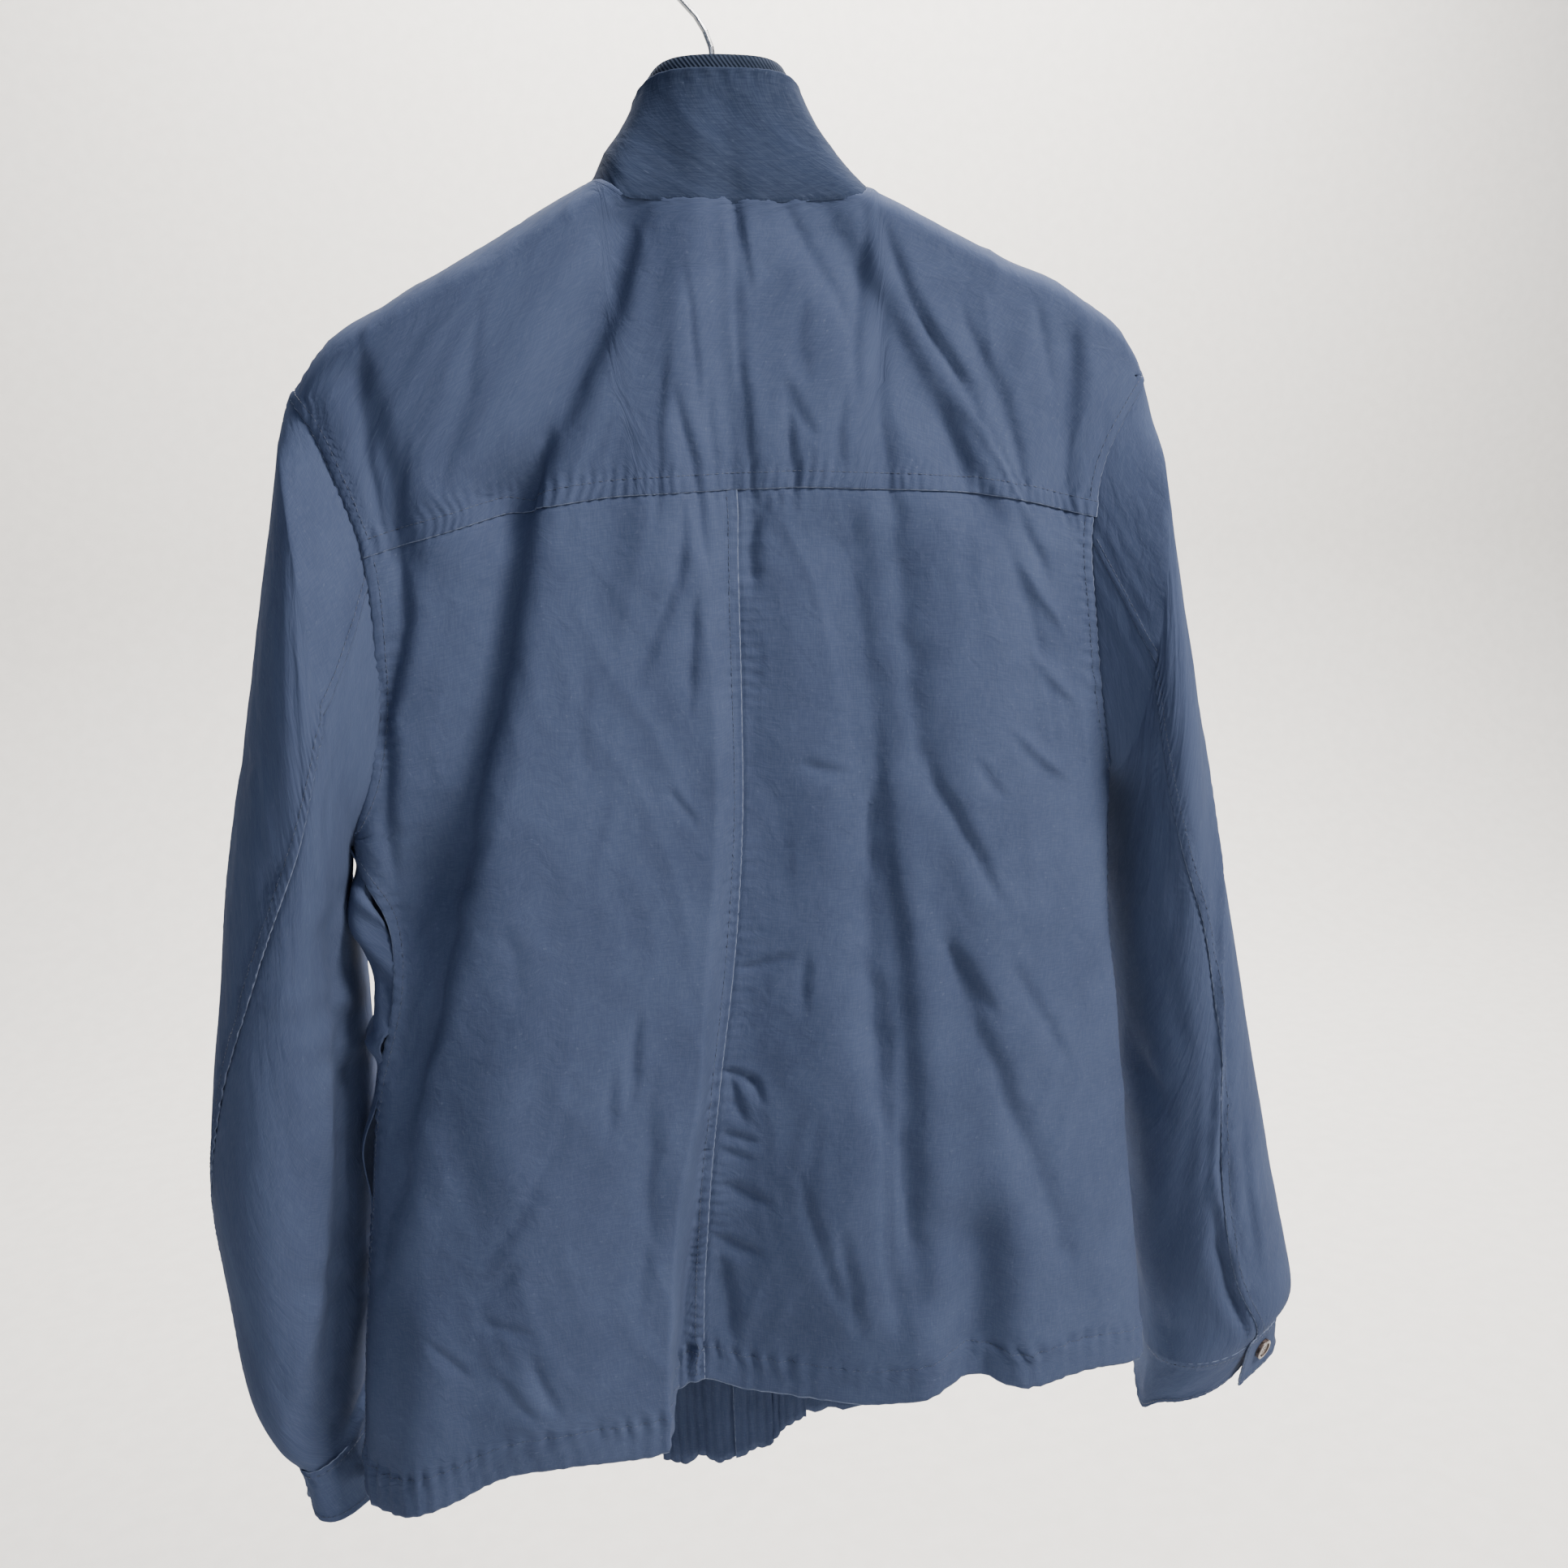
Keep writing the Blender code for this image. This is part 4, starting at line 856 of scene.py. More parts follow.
def front_point(x, z, deep):
    """A point of the front with its folds."""
    return body_point("front", x, z, deep, -folds(x, z, FRONT_FOLDS))


def front_start(x):
    """The height at which a front starts: the neck's quarter oval, then under the shoulder seam."""
    seam = shoulder_z(x) - SHOULDER_SEAM_DROP + TUCK
    share = np.clip(np.abs(x - NECK_MIDDLE_X) / NECK_HALF_WIDTH, 0, 1)
    corner = NECK_MIDDLE_X + np.copysign(NECK_HALF_WIDTH, x - NECK_MIDDLE_X)
    rise = shoulder_z(corner) - SHOULDER_SEAM_DROP + TUCK - NECK_FRONT_Z
    return np.where(share < 1, NECK_FRONT_Z + rise * (1 - np.sqrt(1 - share**2)), seam)


def neck_share(side, edge, opening=0.0):
    """The share of the way to the armhole edge at which the neck seam meets the shoulder seam."""
    corner = NECK_MIDDLE_X + SIGN[side] * NECK_HALF_WIDTH
    z = shoulder_z(corner)
    across = (np.abs(corner) - opening) / (half_width(z, side) - opening)
    return float(np.interp(across, SECTION_ACROSS, SECTION_RUN) / edge_run(z, side, edge))


def front_middle(z):
    """Where the fronts meet: the zip's line drifts to the wearer's left on its way down."""
    neck, hem = FRONT_MIDDLE_X["neck"], FRONT_MIDDLE_X["hem"]
    return neck + (hem - neck) * ease(-z, 0.2, 0.95)


def front_hem(x):
    """The hem of the fronts, which dips and rises where the cloth hangs in small folds."""
    wave = np.sin(x / (5 * MM)) + 0.7 * np.sin(x / (2.9 * MM) + 1)
    return read(ACROSS, "front_hem", x) + 1.6 * MM * wave


def front_grid(side, share, armhole_rows, side_rows):
    """A front, from its opening edge, 0, to the armhole and round to the side seam, 1.

    Its first rows end along the armhole, and the others along the side seam of the back.
    """
    sign = SIGN[side]
    share = share[None, :]
    seam = back_panel_grid(side, np.array([0.0, 1.0]), side_rows)[:, -1, 2]
    first = FRONT_EDGE["z"][0] - TUCK
    armhole = first + (seam[0] - first) * armhole_rows[:-1]
    edge_z = np.concatenate([armhole, seam])[:, None]
    z = edge_z + 0 * share
    for _ in range(20):
        end = edge_run(z, side, FRONT_EDGE) + seam_pull(z, side)
        run = share * (end + TUCK / half_width(z, side) * (z < ARMPIT_Z))
        across, deep = place_on_section(np.where(run > 1, 2 - run, run), z, side)
        edge = front_middle(z) + sign * FRONT_OPENING
        x = sign * across + edge * (1 - across / half_width(z, side))
        outside = NECK_MIDDLE_X + sign * np.maximum(np.abs(x - NECK_MIDDLE_X), NECK_HALF_WIDTH)
        level = shoulder_z(outside) - SHOULDER_SEAM_DROP + TUCK
        bottom = front_hem(x)
        down = (edge_z - level[:, -1:]) / (bottom[:, -1:] - level[:, -1:])
        down = (down - down[:1]) / (down[-1:] - down[:1])
        neck_drop = (front_start(x) - level) * (1 - down) ** 5
        z = 0.5 * z + 0.5 * (level + (bottom - level) * down + neck_drop)
        z[:, -1:] = edge_z
    return np.where((run > 1)[..., None], back_point(x, z, deep), front_point(x, z, deep))


# Where the left side's cloth is bunched below the armpit: height, half height and how far out.
BUNCHES = table("z reach out", (-466, 14, 8), (-522, 22, 10), (-594, 8, 7), (-662, 26, 8))
# Creases below each armpit, across the side of the front.
FRONT_CREASES = table(
    FOLD_COLUMNS,
    (224, -425, 212, -455, 0, 3, -5),
    (216, -440, 207, -470, 0, 3, 4),
    (226, -452, 212, -480, 0, 3, -5),
    (220, -470, 205, -494, 0, 3.5, 5),
    (228, -480, 203, -514, 0, 4, -6),
    (226, -500, 198, -536, 0, 4, 4),
    (228, -530, 204, -562, 0, 5, -5),
    (224, -560, 212, -600, 0, 4, 4),
    (-228, -440, -206, -470, 0, 4, -4),
    (-228, -470, -204, -500, 0, 4, 3),
    (-230, -500, -206, -540, 0, 5, -4),
)
front_points = {}
for side, flip, seed in (("left", False, 41), ("right", True, 51)):
    grid = front_grid(side, graded(76), np.linspace(0, 1, 26), np.linspace(0, 1, 140))
    seams = [
        ("first", "over", 7, 0.3, 9),
        ("last", "under", 6, 0.35, 8),
        ("top", "under", 4, 0.3, 8),
        ("bottom", "hem", HEM, 0.7, 11),
    ]
    if side == "left":
        for z, reach, out in zip(*BUNCHES.values()):
            outer = ease(grid[..., 0], 0.19, 0.215)
            grid[..., 0] += out * bell(grid[..., 2] - z, reach) * outer
    front_points[side], near = dressed(grid, flip, seams, seed, creases=FRONT_CREASES)
    piece = cloth("front_" + side + "_cloth", front_points[side], flip, navy_cotton, near)
    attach(piece, "jacket")
    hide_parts("front_" + side)

# -------------------------------------------------------------------------------
# Front facings. A strip of the cloth behind each edge of the opening, sewn down in close rows.
# -------------------------------------------------------------------------------

# The right one laps across behind the zip, and the left one hangs in soft folds.
FACING = {
    "left": {"start": 2 * MM, "width": 50 * MM, "inset": 6 * MM, "fold": 1.8 * MM},
    "right": {"start": -4 * MM, "width": 50 * MM, "inset": 9 * MM, "fold": 0.4 * MM},
}
FACING_WALL = 1.2 * MM
ROW_PITCH = 6.5 * MM


def front_strip(side, place, across, down):
    """A strip along the fronts' opening, a facing or a tape, set in behind their outer face."""
    out, down = (place["start"] + place["width"] * across)[None, :], down[:, None]
    z = -0.25 - 0.65 * down + 0 * out
    for _ in range(8):
        x = front_middle(z) + SIGN[side] * out
        start = front_start(x) - 2 * MM
        end = front_hem(x) + 1 * MM
        z = start + (end - start) * down
    across = np.abs(x) / np.where(x > 0, half_width(z, "left"), half_width(z, "right"))
    points = front_point(x, z, np.interp(across, SECTION_ACROSS, SECTION_DEEP))
    return points + np.array([0, place["inset"], 0])


for side, flip, seed in (("left", False, 61), ("right", True, 71)):
    grid = front_strip(side, FACING[side], np.linspace(0, 1, 56), np.linspace(0, 1, 130))
    run = lengths(grid, 1)
    rib = np.cos(2 * math.pi * run / ROW_PITCH) * ease(run, 2 * MM, 6 * MM)
    rough = dimples(run / (4 * MM), lengths(grid, 0) / (7 * MM), seed)
    fold = FACING[side]["fold"] * np.sin(run / (5.5 * MM))
    grid[..., 1] += 0.7 * MM * (rib + rough) + fold
    piece = cloth("facing_" + side, grid, flip, navy_cotton, run, FACING_WALL)
    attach(piece, "jacket")
    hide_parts("front_facing_" + side)

# -------------------------------------------------------------------------------
# Collar. A stand of the cloth with a facing of fine corduroy, which rolls a few millimetres over
# the top of the shell.
# -------------------------------------------------------------------------------

COLLAR_COLUMNS = 220
COLLAR_RISE = 7 * MM
# How far the right side of the collar is hollow, and the left side full.
COLLAR_HOLLOW = 2.5 * MM
COLLAR_FULL = 2.0 * MM
COLLAR_TOP_HALF_WIDTH = 46 * MM
COLLAR_TOP_Y = {"back": 28 * MM, "front": -84 * MM}
COLLAR_TOP_Z = {"back": -83 * MM, "front": -150 * MM}


def along(points, count):
    """Points spread evenly by length along a line of points."""
    length = lengths(points, 0)
    at = np.linspace(0, length[-1], count)
    return np.stack([np.interp(at, length, points[:, k]) for k in range(3)], -1)


def front_points_at_neck(side):
    """The top edge of a front from its opening to the shoulder seam."""
    corner = neck_share(side, FRONT_EDGE, FRONT_OPENING + SIGN[side] * FRONT_MIDDLE_X["neck"])
    share = np.append(np.linspace(0, corner, 24), 1)
    grid = front_grid(side, share, np.linspace(0, 1, 3), np.linspace(0, 1, 5))
    return grid[0, :24]


def neck_line(count):
    """The neck seam from the right front edge over the back to the left front edge."""
    left, right = (front_points_at_neck(side) for side in SIDES)
    ends = np.linspace(-neck_share("right", BACK_EDGE), neck_share("left", BACK_EDGE), 60)
    back = yoke_grid(ends, np.array([0.0, 1.0]))[0]
    line = along(np.concatenate([right[:-1], back, left[-2::-1]]), count)
    for _ in range(6):
        line[1:-1] = (line[:-2] + 2 * line[1:-1] + line[2:]) / 4
    return line


def collar_top_line(count):
    """The collar's top edge from the right front to the left: a rounded box that dips forward."""
    reach = 0.97 * math.pi
    angle = np.linspace(-reach, reach, count * 8)
    middle = (COLLAR_TOP_Y["back"] + COLLAR_TOP_Y["front"]) / 2
    depth = (COLLAR_TOP_Y["back"] - COLLAR_TOP_Y["front"]) / 2
    x = COLLAR_TOP_HALF_WIDTH * np.sign(np.sin(angle)) * np.abs(np.sin(angle)) ** 0.75
    y = middle + depth * np.sign(np.cos(angle)) * np.abs(np.cos(angle)) ** 0.8
    share = (COLLAR_TOP_Y["back"] - y) / (2 * depth)
    z = COLLAR_TOP_Z["back"] + (COLLAR_TOP_Z["front"] - COLLAR_TOP_Z["back"]) * share**1.8
    return along(np.stack([x + NECK_MIDDLE_X * share, y, z], -1), count)


def collar_grid(up, count):
    """The collar at some heights: 0 is the neck seam, 1 the shell's top, and more lies above it."""
    lower = neck_line(count)
    upper = collar_top_line(count)
    up = np.array(up)[:, None, None]
    points = lower + (upper - lower) * up
    away = points - (upper + lower).mean(0) / 2
    away[..., 2] = 0
    left = ease(points[..., :1], 0.03, 0.06)
    inward = (COLLAR_HOLLOW * (1 - left) - COLLAR_FULL * left) * np.sin(np.pi * np.clip(up, 0, 1))
    return points - inward * away / np.linalg.norm(away, axis=-1, keepdims=True)


# The shell is of the same cotton, coloured darker than the body's cloth: painted shade on the
# collar. Its edges aren't rubbed.
collar_cotton_painted_shade = cotton("garment_dyed_navy_collar_cotton", "364159", "2f394e", "8793ab")
grid = collar_grid(graded(36, 1, -0.05), COLLAR_COLUMNS)
seams = [("top", "over", 3, 0.25, 9), ("bottom", "joined", 3, 0.35, 8)]
points, near = dressed(grid, True, seams, 81, tall=0.8, lean=0.1)
piece = cloth("collar_shell", points, True, collar_cotton_painted_shade, near + 1)
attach(piece, "jacket")
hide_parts("collar_outer")

# Fine-wale corduroy, dyed charcoal: the cotton's weave and fading under slanting pile cords.
corduroy = cotton("charcoal_corduroy", "394355", "2c3545", "66728a")
tree, shader = corduroy.node_tree, corduroy.node_tree.nodes["Principled BSDF"]
cut = add(tree, "UVMap", uv_map="cut")
slanted = add(tree, "Mapping", {"Vector": cut, "Rotation": (0, 0, 0.35)})
# The wales: cords 2.2 mm apart.
wave = {"Vector": slanted, "Scale": 143.0, "Distortion": 0.6}
wales = add(tree, "TexWave", wave, out="Fac", wave_profile="SIN")
tone, low = (shader.inputs[name].links[0].from_socket for name in ("Base Color", "Normal"))
# Where the wave is low, between the cords, the colour is mixed towards a dark tone: painted shade
# in the grooves.
tone = blended(tree, span(tree, wales, 0.6, 0.1, 0.0, 0.3), tone, linear("1f2531"))
tree.links.new(tone, shader.inputs["Base Color"])
bumped(tree, shader, wales, 0.0006, 0.8, low)

CORDUROY_WALL = 1.8 * MM
CORDUROY_INSET = 1.2 * MM
rise = 1 + COLLAR_RISE / abs(COLLAR_TOP_Z["back"] - NECK_BACK_Z)
grid = collar_grid(np.linspace(rise, 0.02, 22), COLLAR_COLUMNS)
lining = grid + (CLOTH_WALL + CORDUROY_INSET) * normals(grid)
unworn = np.full(grid.shape[:2], 1.0)
piece = cloth("collar_corduroy", lining, True, corduroy, unworn, CORDUROY_WALL)
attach(piece, "jacket")
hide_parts("collar_facing")

# -------------------------------------------------------------------------------
# Sleeves. Two pieces each: a top sleeve round the outside and an under sleeve next to the body.
# -------------------------------------------------------------------------------

# How far each piece stops short of its seams, on both sides together. The top sleeve is sewn over
# the under sleeve, which runs on below it.
SLEEVE_GAPS = {"top": 0.1 * MM, "under": -2 * TUCK}
# How far the sleeve runs on into its cuff.
SLEEVE_TUCK = 8 * MM

# Rings of each sleeve from the armhole to the cuff: x and z of the ring's middle, half the way from
# its inner to its outer edge (across, up), y of its middle, half its depth, and its turn (degrees).
SLEEVE_LEFT = (
    (230, -370, 9, 108, 8, 54, 0),
    (235, -391, 12, 91, 5, 62, 0),
    (241, -419, 17, 73, 0, 69, 0),
    (248, -456, 23, 52, -7, 74, 0),
    (256, -510, 32, 32, -13, 72, -4),
    (262, -568, 38, 20, -17, 68, -8),
    (269, -630, 43, 12, -20, 65, -12),
    (276, -696, 45, 6, -23, 63, -14),
    (278, -761, 40.5, 1, -25, 60, -15),
    (279.5, -812, 33.5, -3, -26, 57, -17),
    (275, -845, 25, -5, -26, 52, -19),
    (268.8, -866, 18.8, -4, -24, 43, -20),
)
SLEEVE_RIGHT = (
    (235.5, -371, 9.5, 107, 8, 54, 0),
    (239.5, -393, 10.5, 90, 5, 62, 0),
    (245, -421, 13.5, 71, 0, 69, 2),
    (254.5, -460, 21, 48, -7, 74, 6),
    (266, -511, 29, 31, -13, 72, 8),
    (280, -569, 36, 19, -17, 68, 10),
    (293.5, -633, 41, 9, -20, 65, 14),
    (306.5, -701, 45.5, 3, -23, 63, 20),
    (319.5, -769, 48.5, -1, -24, 60, 28),
    (329, -828, 53.5, -1, -24, 57, 36),
    (334, -868, 53, 2, -22, 54, 46),
    (327, -895, 40, 7, -18, 50, 58),
)
# The back and front seams of the sleeves: angles round the rings from their outer edge, in degrees.
SLEEVE_SEAMS = {
    "row": np.arange(13.0),
    "left": np.radians([77, 105, 106, 104, 98, 86, 70, 50, 32, 24, 22, 22, 24]),
    "right": np.radians([77, 106, 114, 115, 109, 95, 80, 72, 70, 70, 62, 42, 8]),
    "front_left": np.radians([252, 252, 252, 252, 252, 252, 250, 248, 246, 246, 246, 246, 246]),
    "front_right": np.radians([252, 252, 252, 252, 252, 252, 250, 248, 244, 238, 226, 208, 188]),
}
SLEEVES = {"left": np.array(SLEEVE_LEFT, float), "right": np.array(SLEEVE_RIGHT, float)}
# The back seam is open above the cuff from this row on, by this width at the cuff.
SLIT_START = 10.2
SLIT_WIDTH = {"left": 0.5 * MM, "right": 5 * MM}
# Creases on the back of each sleeve: ridges and pleats down its length, and short ones by the cuff.
SLEEVE_CREASES = {
    "left": table(
        FOLD_COLUMNS,
        (236, -470, 247, -640, 3, 6, 3),
        (247, -630, 262, -735, 3, 5, 4),
        (262, -730, 292, -815, 0, 5, 4),
        (226, -505, 232, -640, 0, 11, -14),
        (231, -630, 250, -780, 0, 12, -14),
        (250, -770, 268, -860, 0, 10, -9),
        (262, -420, 276, -436, 0, 5, -2),
        (252, -475, 268, -492, 0, 5, -2),
        (258, -545, 274, -556, 0, 6, 2),
        (268, -610, 258, -680, -2, 7, -2.5),
        (272, -700, 266, -760, 2, 7, 2.5),
        (286, -800, 276, -850, 0, 5, -3),
        (246, -838, 262, -868, 0, 4, -4),
        (252, -850, 270, -880, 0, 4, 3),
        (285, -868, 275, -885, 0, 3, -3),
    ),
    "right": table(
        FOLD_COLUMNS,
        (-272, -430, -291, -570, 2, 5, 3.5),
        (-290, -560, -299, -745, 1, 4, 5),
        (-304, -540, -308, -740, 0, 7, -4),
        (-243, -470, -262, -570, 0, 9, -4),
        (-236, -560, -262, -690, 0, 7, -5),
        (-250, -560, -274, -650, 0, 5, -3),
        (-246, -640, -272, -705, 0, 5, -4),
        (-262, -700, -274, -790, 0, 9, 3),
        (-285, -700, -290, -790, 0, 7, -2.5),
        (-300, -748, -309, -784, 0, 4, 3),
        (-312, -735, -318, -790, 0, 5, -3),
        (-324, -720, -336, -800, 0, 4, -3.5),
        (-330, -760, -345, -830, 0, 5, 2.5),
        (-308, -790, -331, -866, -1, 4, -9),
        (-262, -835, -268, -872, 0, 4, -2.5),
        (-285, -845, -290, -878, 0, 4, 2.5),
    ),
}


def armhole_ring(side, angle):
    """The armhole at angles round it: 0 at the shoulder tip, 90 at the back, 180 at the armpit."""
    tip = BACK_EDGE["z"][0]
    z = tip + (ARMPIT_Z + SEAM_GAP - tip) * (1 - np.cos(angle)) / 2
    rings = []
    for edge, point in ((BACK_EDGE, back_point), (FRONT_EDGE, front_point)):
        across, deep = place_on_section(edge_run(z, side, edge), z, side)
        rings.append(point(SIGN[side] * across, z, deep))
    return np.where((np.sin(angle) > 0)[..., None], *rings)


def oval_ring(side, row, angle):
    """An oval in its own plane, at a row of the sleeve's table or between two of them."""
    at = np.arange(1.0, len(SLEEVES[side]) + 1)
    x, z, half, rise, y, depth, turn = (smooth(row, at, column) for column in SLEEVES[side].T)
    turn = np.radians(turn)
    length = np.hypot(half, rise)
    out = length * np.cos(angle) * np.cos(turn) - depth * np.sin(angle) * np.sin(turn)
    behind = length * np.cos(angle) * np.sin(turn) + depth * np.sin(angle) * np.cos(turn)
    aside = SIGN[side] * (x + out * half / length)
    return MM * np.stack([aside, y + behind, z + out * rise / length], -1)


def sleeve_end(side):
    """The middle of the last ring."""
    return oval_ring(side, np.full(2, len(SLEEVES[side])), np.array([0, math.pi])).mean(0)


def sleeve_point(side, row, angle):
    """A point of a sleeve: rings grow from under the armhole's edge into ovals by the first row.

    Rows past the last one run down into the cuff and narrow a little.
    """
    row, angle = np.broadcast_arrays(row, angle)
    last = float(len(SLEEVES[side]))
    loop, first = armhole_ring(side, angle), oval_ring(side, 1.0 + 0 * row, angle)
    way = first - loop
    start = loop - way * TUCK / np.maximum(np.linalg.norm(way, axis=-1, keepdims=True), TUCK)
    share = np.clip(row, 0, 1)[..., None]
    oval = oval_ring(side, np.clip(row, 1, last), angle)
    past = np.maximum(row - last, 0)[..., None]
    oval = oval + past * ((sleeve_end(side) - oval) * 0.05 - np.array([0, 0, SLEEVE_TUCK]))
    return np.where(row[..., None] < 1, start + (first - start) * share, oval)


def sleeve_seam(seam, row):
    """The angle of a sleeve's back seam, left or right, or of its front seam, at a row."""
    return read(SLEEVE_SEAMS, seam, row)


def sleeve_grid(side, piece, share, row):
    """The top sleeve, round the outside, or the under sleeve, round the body's side of the arm."""
    share, row = share[None, :], row[:, None]
    inward = 1 if piece == "under" else -1
    slit = -inward * ease(row, SLIT_START, SLIT_START + 1) * SLIT_WIDTH[side]
    ends = []
    for seam, extra, way in ((side, slit, inward), ("front_" + side, 0, -inward)):
        angle = sleeve_seam(seam, row)
        step = sleeve_point(side, row, angle + 0.02) - sleeve_point(side, row, angle)
        speed = np.linalg.norm(step, axis=-1) / 0.02
        ends.append(angle + way * (SLEEVE_GAPS[piece] + extra) / 2 / speed)
    back, front = ends
    if piece == "top":
        back, front = front - 2 * math.pi, back
    return sleeve_point(side, row, back + (front - back) * share)


sleeve_points = {}
for side, flip, seed in (("left", False, 91), ("right", True, 121)):
    for part, columns in (("top", 80), ("under", 52)):
        last = float(len(SLEEVES[side]))
        into_cuff = [last + 0.5, last + 1]
        row = np.concatenate([np.linspace(0, 1, 12)[:-1], np.linspace(1, last, 208), into_cuff])
        grid = sleeve_grid(side, part, graded(columns), row)
        kind = "over" if part == "top" else "under"
        seams = [
            ("first", kind, 7, 0.85, 6.5),
            ("last", kind, 7, 0.85, 6.5),
            ("top", "under", 3, 0.4, 8),
            ("bottom", "under", 3, 0.8, 9),
        ]
        creases = SLEEVE_CREASES[side]
        points, near = dressed(grid, flip, seams, seed, 0.6, 0.3, creases, hidden=2.0)
        sleeve_points[side, part] = points
        piece = cloth("sleeve_" + part + "_" + side + "_cloth", points, flip, navy_cotton, near)
        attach(piece, "jacket")
        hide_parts("sleeve_" + part + "_" + side)
        seed += 10

# -------------------------------------------------------------------------------
# Cuffs. A doubled band of the cloth round each sleeve's end, lapped and held by one button.
# -------------------------------------------------------------------------------

CUFF_HEIGHT = 40 * MM
CUFF_WALL = 1.8 * MM
CUFF_LAP = 24 * MM
CUFF_LAP_STEP = 3.0 * MM
CUFF_FLARE = 2.0 * MM
# How far the lower edge lies aside and back of the upper one, how much it slants, and how far below
# the sleeve's last ring the cuff starts.
CUFF_LEAN = {"left": (-7 * MM, 0.0), "right": (-2 * MM, -17 * MM)}
CUFF_RISE = {"left": 0.25, "right": 0.17}
CUFF_START = -0.5 * MM
WRIST_RADIUS = 40 * MM
# The lowest corner of each cuff: how far round it lies and how wide it is, as shares, and its drop.
CUFF_CORNER = {"left": (0.52, 0.07, 3 * MM), "right": (0.66, 0.05, 15 * MM)}


def cuff_point(side, share, down):
    """A point of a cuff, a band once round the sleeve's end; its start laps over its end."""
    last = float(len(SLEEVES[side]))
    lap = CUFF_LAP / WRIST_RADIUS
    turned = share * (2 * math.pi + lap)
    angle = sleeve_seam(side, last) + 0.1 - turned
    ring = oval_ring(side, last + 0 * angle, angle)
    away = ring - sleeve_end(side)
    away[..., 2] = 0
    out = CUFF_LAP_STEP * (1 - ease(turned, lap, 2.4 * lap)) + CUFF_FLARE * down
    ring = ring + away / np.linalg.norm(away, axis=-1, keepdims=True) * out[..., None]
    sign = SIGN[side]
    aside, back = CUFF_LEAN[side]
    rise = CUFF_RISE[side] * sign * away[..., 0] * down
    fall = CUFF_START + math.sqrt(CUFF_HEIGHT**2 - aside**2 - back**2) * down - rise
    return ring + np.stack([sign * aside * down + 0 * out, back * down + 0 * out, -fall], -1)


cuff_points = {}
for side, flip, seed in (("left", True, 151), ("right", False, 161)):
    share, down = np.meshgrid(graded(180, close=0.5), graded(30))
    grid = cuff_point(side, share, down)
    place, width, drop = CUFF_CORNER[side]
    grid[..., 2] -= drop * bell(share - place, width) * down
    if side == "right":
        # The lap hangs open: its end drops, and the outer side of the cuff stands off the wrist.
        end = bell(share, 0.09) * down
        outer = bell(share - 0.13, 0.08) * (0.3 + 0.7 * down)
        inner = bell(share - 0.62, 0.14) * (0.3 + 0.7 * down)
        grid[..., 0] -= 2 * MM * end + 8 * MM * (outer + inner)
        grid[..., 1] += 12 * MM * outer
        grid[..., 2] += 5 * MM * (bell(share, 0.12) * (1 - down) - end)
    seams = [
        ("first", "over", 4, 0.3, 6),
        ("last", "under", 4, 0.2, 9),
        ("top", "over", 5, 0.45, 6),
        ("bottom", "over", 5, 0.45, 6),
    ]
    cuff_points[side], near = dressed(grid, flip, seams, seed, tall=1.1)
    piece = cloth("cuff_band_" + side, cuff_points[side], flip, navy_cotton, near, CUFF_WALL)
    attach(piece, "jacket")
    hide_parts("cuff_" + side)

# -------------------------------------------------------------------------------
# Cuff buttons. Turned horn, with a thick rim round a dished middle and four holes.
# -------------------------------------------------------------------------------

# Polished brown horn: streaks of grey and brown through it, and a soft gloss.
polish = {"Coat_Weight": 0.3, "Coat_Roughness": 0.2}
horn, tree, shader = surface("polished_brown_horn", Roughness=0.32, **polish)
place = add(tree, "TexCoord", out="Object")
stretched = {"Vector": place, "Scale": (1.0, 1.0, 0.25), "Rotation": (0.3, 0.5, 0.2)}
streaks = add(tree, "Mapping", stretched)
veins = noise(tree, streaks, 420.0, 3.0, Distortion=0.6)
tone = ramp(tree, veins, (0.3, "2a2320"), (0.52, "5c4f49"), (0.75, "857a74"))
tree.links.new(tone, shader.inputs["Base Color"])
tree.links.new(span(tree, veins, 0.3, 0.7, 0.25, 0.42), shader.inputs["Roughness"])
bumped(tree, shader, veins, 0.00006, 0.4)

for side in SIDES:
    cover("cuff_button_" + side, horn)

# The lap of the right cuff stands off the wrist, and its button is sewn flat on it, half way down
# and a little way round: it turns until its thin axis faces as the cloth does, and lies outside it.
BUTTON_DOWN, BUTTON_ROUND = 0.5, 0.05
BUTTON_LIFT = 1.6 * MM
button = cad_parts["cuff_button_right"]
corners = np.array([corner.co for corner in button.data.vertices])
corners -= corners.mean(0)
spot = np.abs(down[:, 0] - BUTTON_DOWN).argmin(), np.abs(share[0] - BUTTON_ROUND).argmin()
facing = normals(cuff_points["right"])[spot]
thin = np.linalg.svd(corners, full_matrices=False)[2][2]
thin *= np.sign(thin @ facing)
tilt = np.array(Vector(thin).rotation_difference(Vector(facing)).to_matrix())
lifted = corners @ tilt.T + cuff_points["right"][spot] + BUTTON_LIFT * facing
mesh = button.data.copy()
mesh.vertices.foreach_set("co", lifted.ravel())
piece = bpy.data.objects.new("button_right", mesh)
bpy.context.scene.collection.objects.link(piece)
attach(piece, "jacket")
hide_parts("cuff_button_right")

# -------------------------------------------------------------------------------
# Zip. Two woven tapes, two rows of brass teeth that mesh, a slider with its pull tab, and the box.
# -------------------------------------------------------------------------------

TAPE = {"start": 3.3 * MM, "width": 14 * MM, "inset": 1.9 * MM, "wall": 0.9 * MM}
# Woven tape of dark navy cotton and polyester, with the cotton's weave.
tape_weave = cotton("woven_zip_tape", "262c38", "1b202a", "4a5160")
for side, flip in (("left", False), ("right", True)):
    grid = front_strip(side, TAPE, np.linspace(0, 1, 10), np.linspace(0, 1, 200))
    unworn = np.full(grid.shape[:2], 1.0)
    piece = cloth("tape_" + side, grid, flip, tape_weave, unworn, TAPE["wall"])
    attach(piece, "jacket")
    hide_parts("zip_tape_" + side)

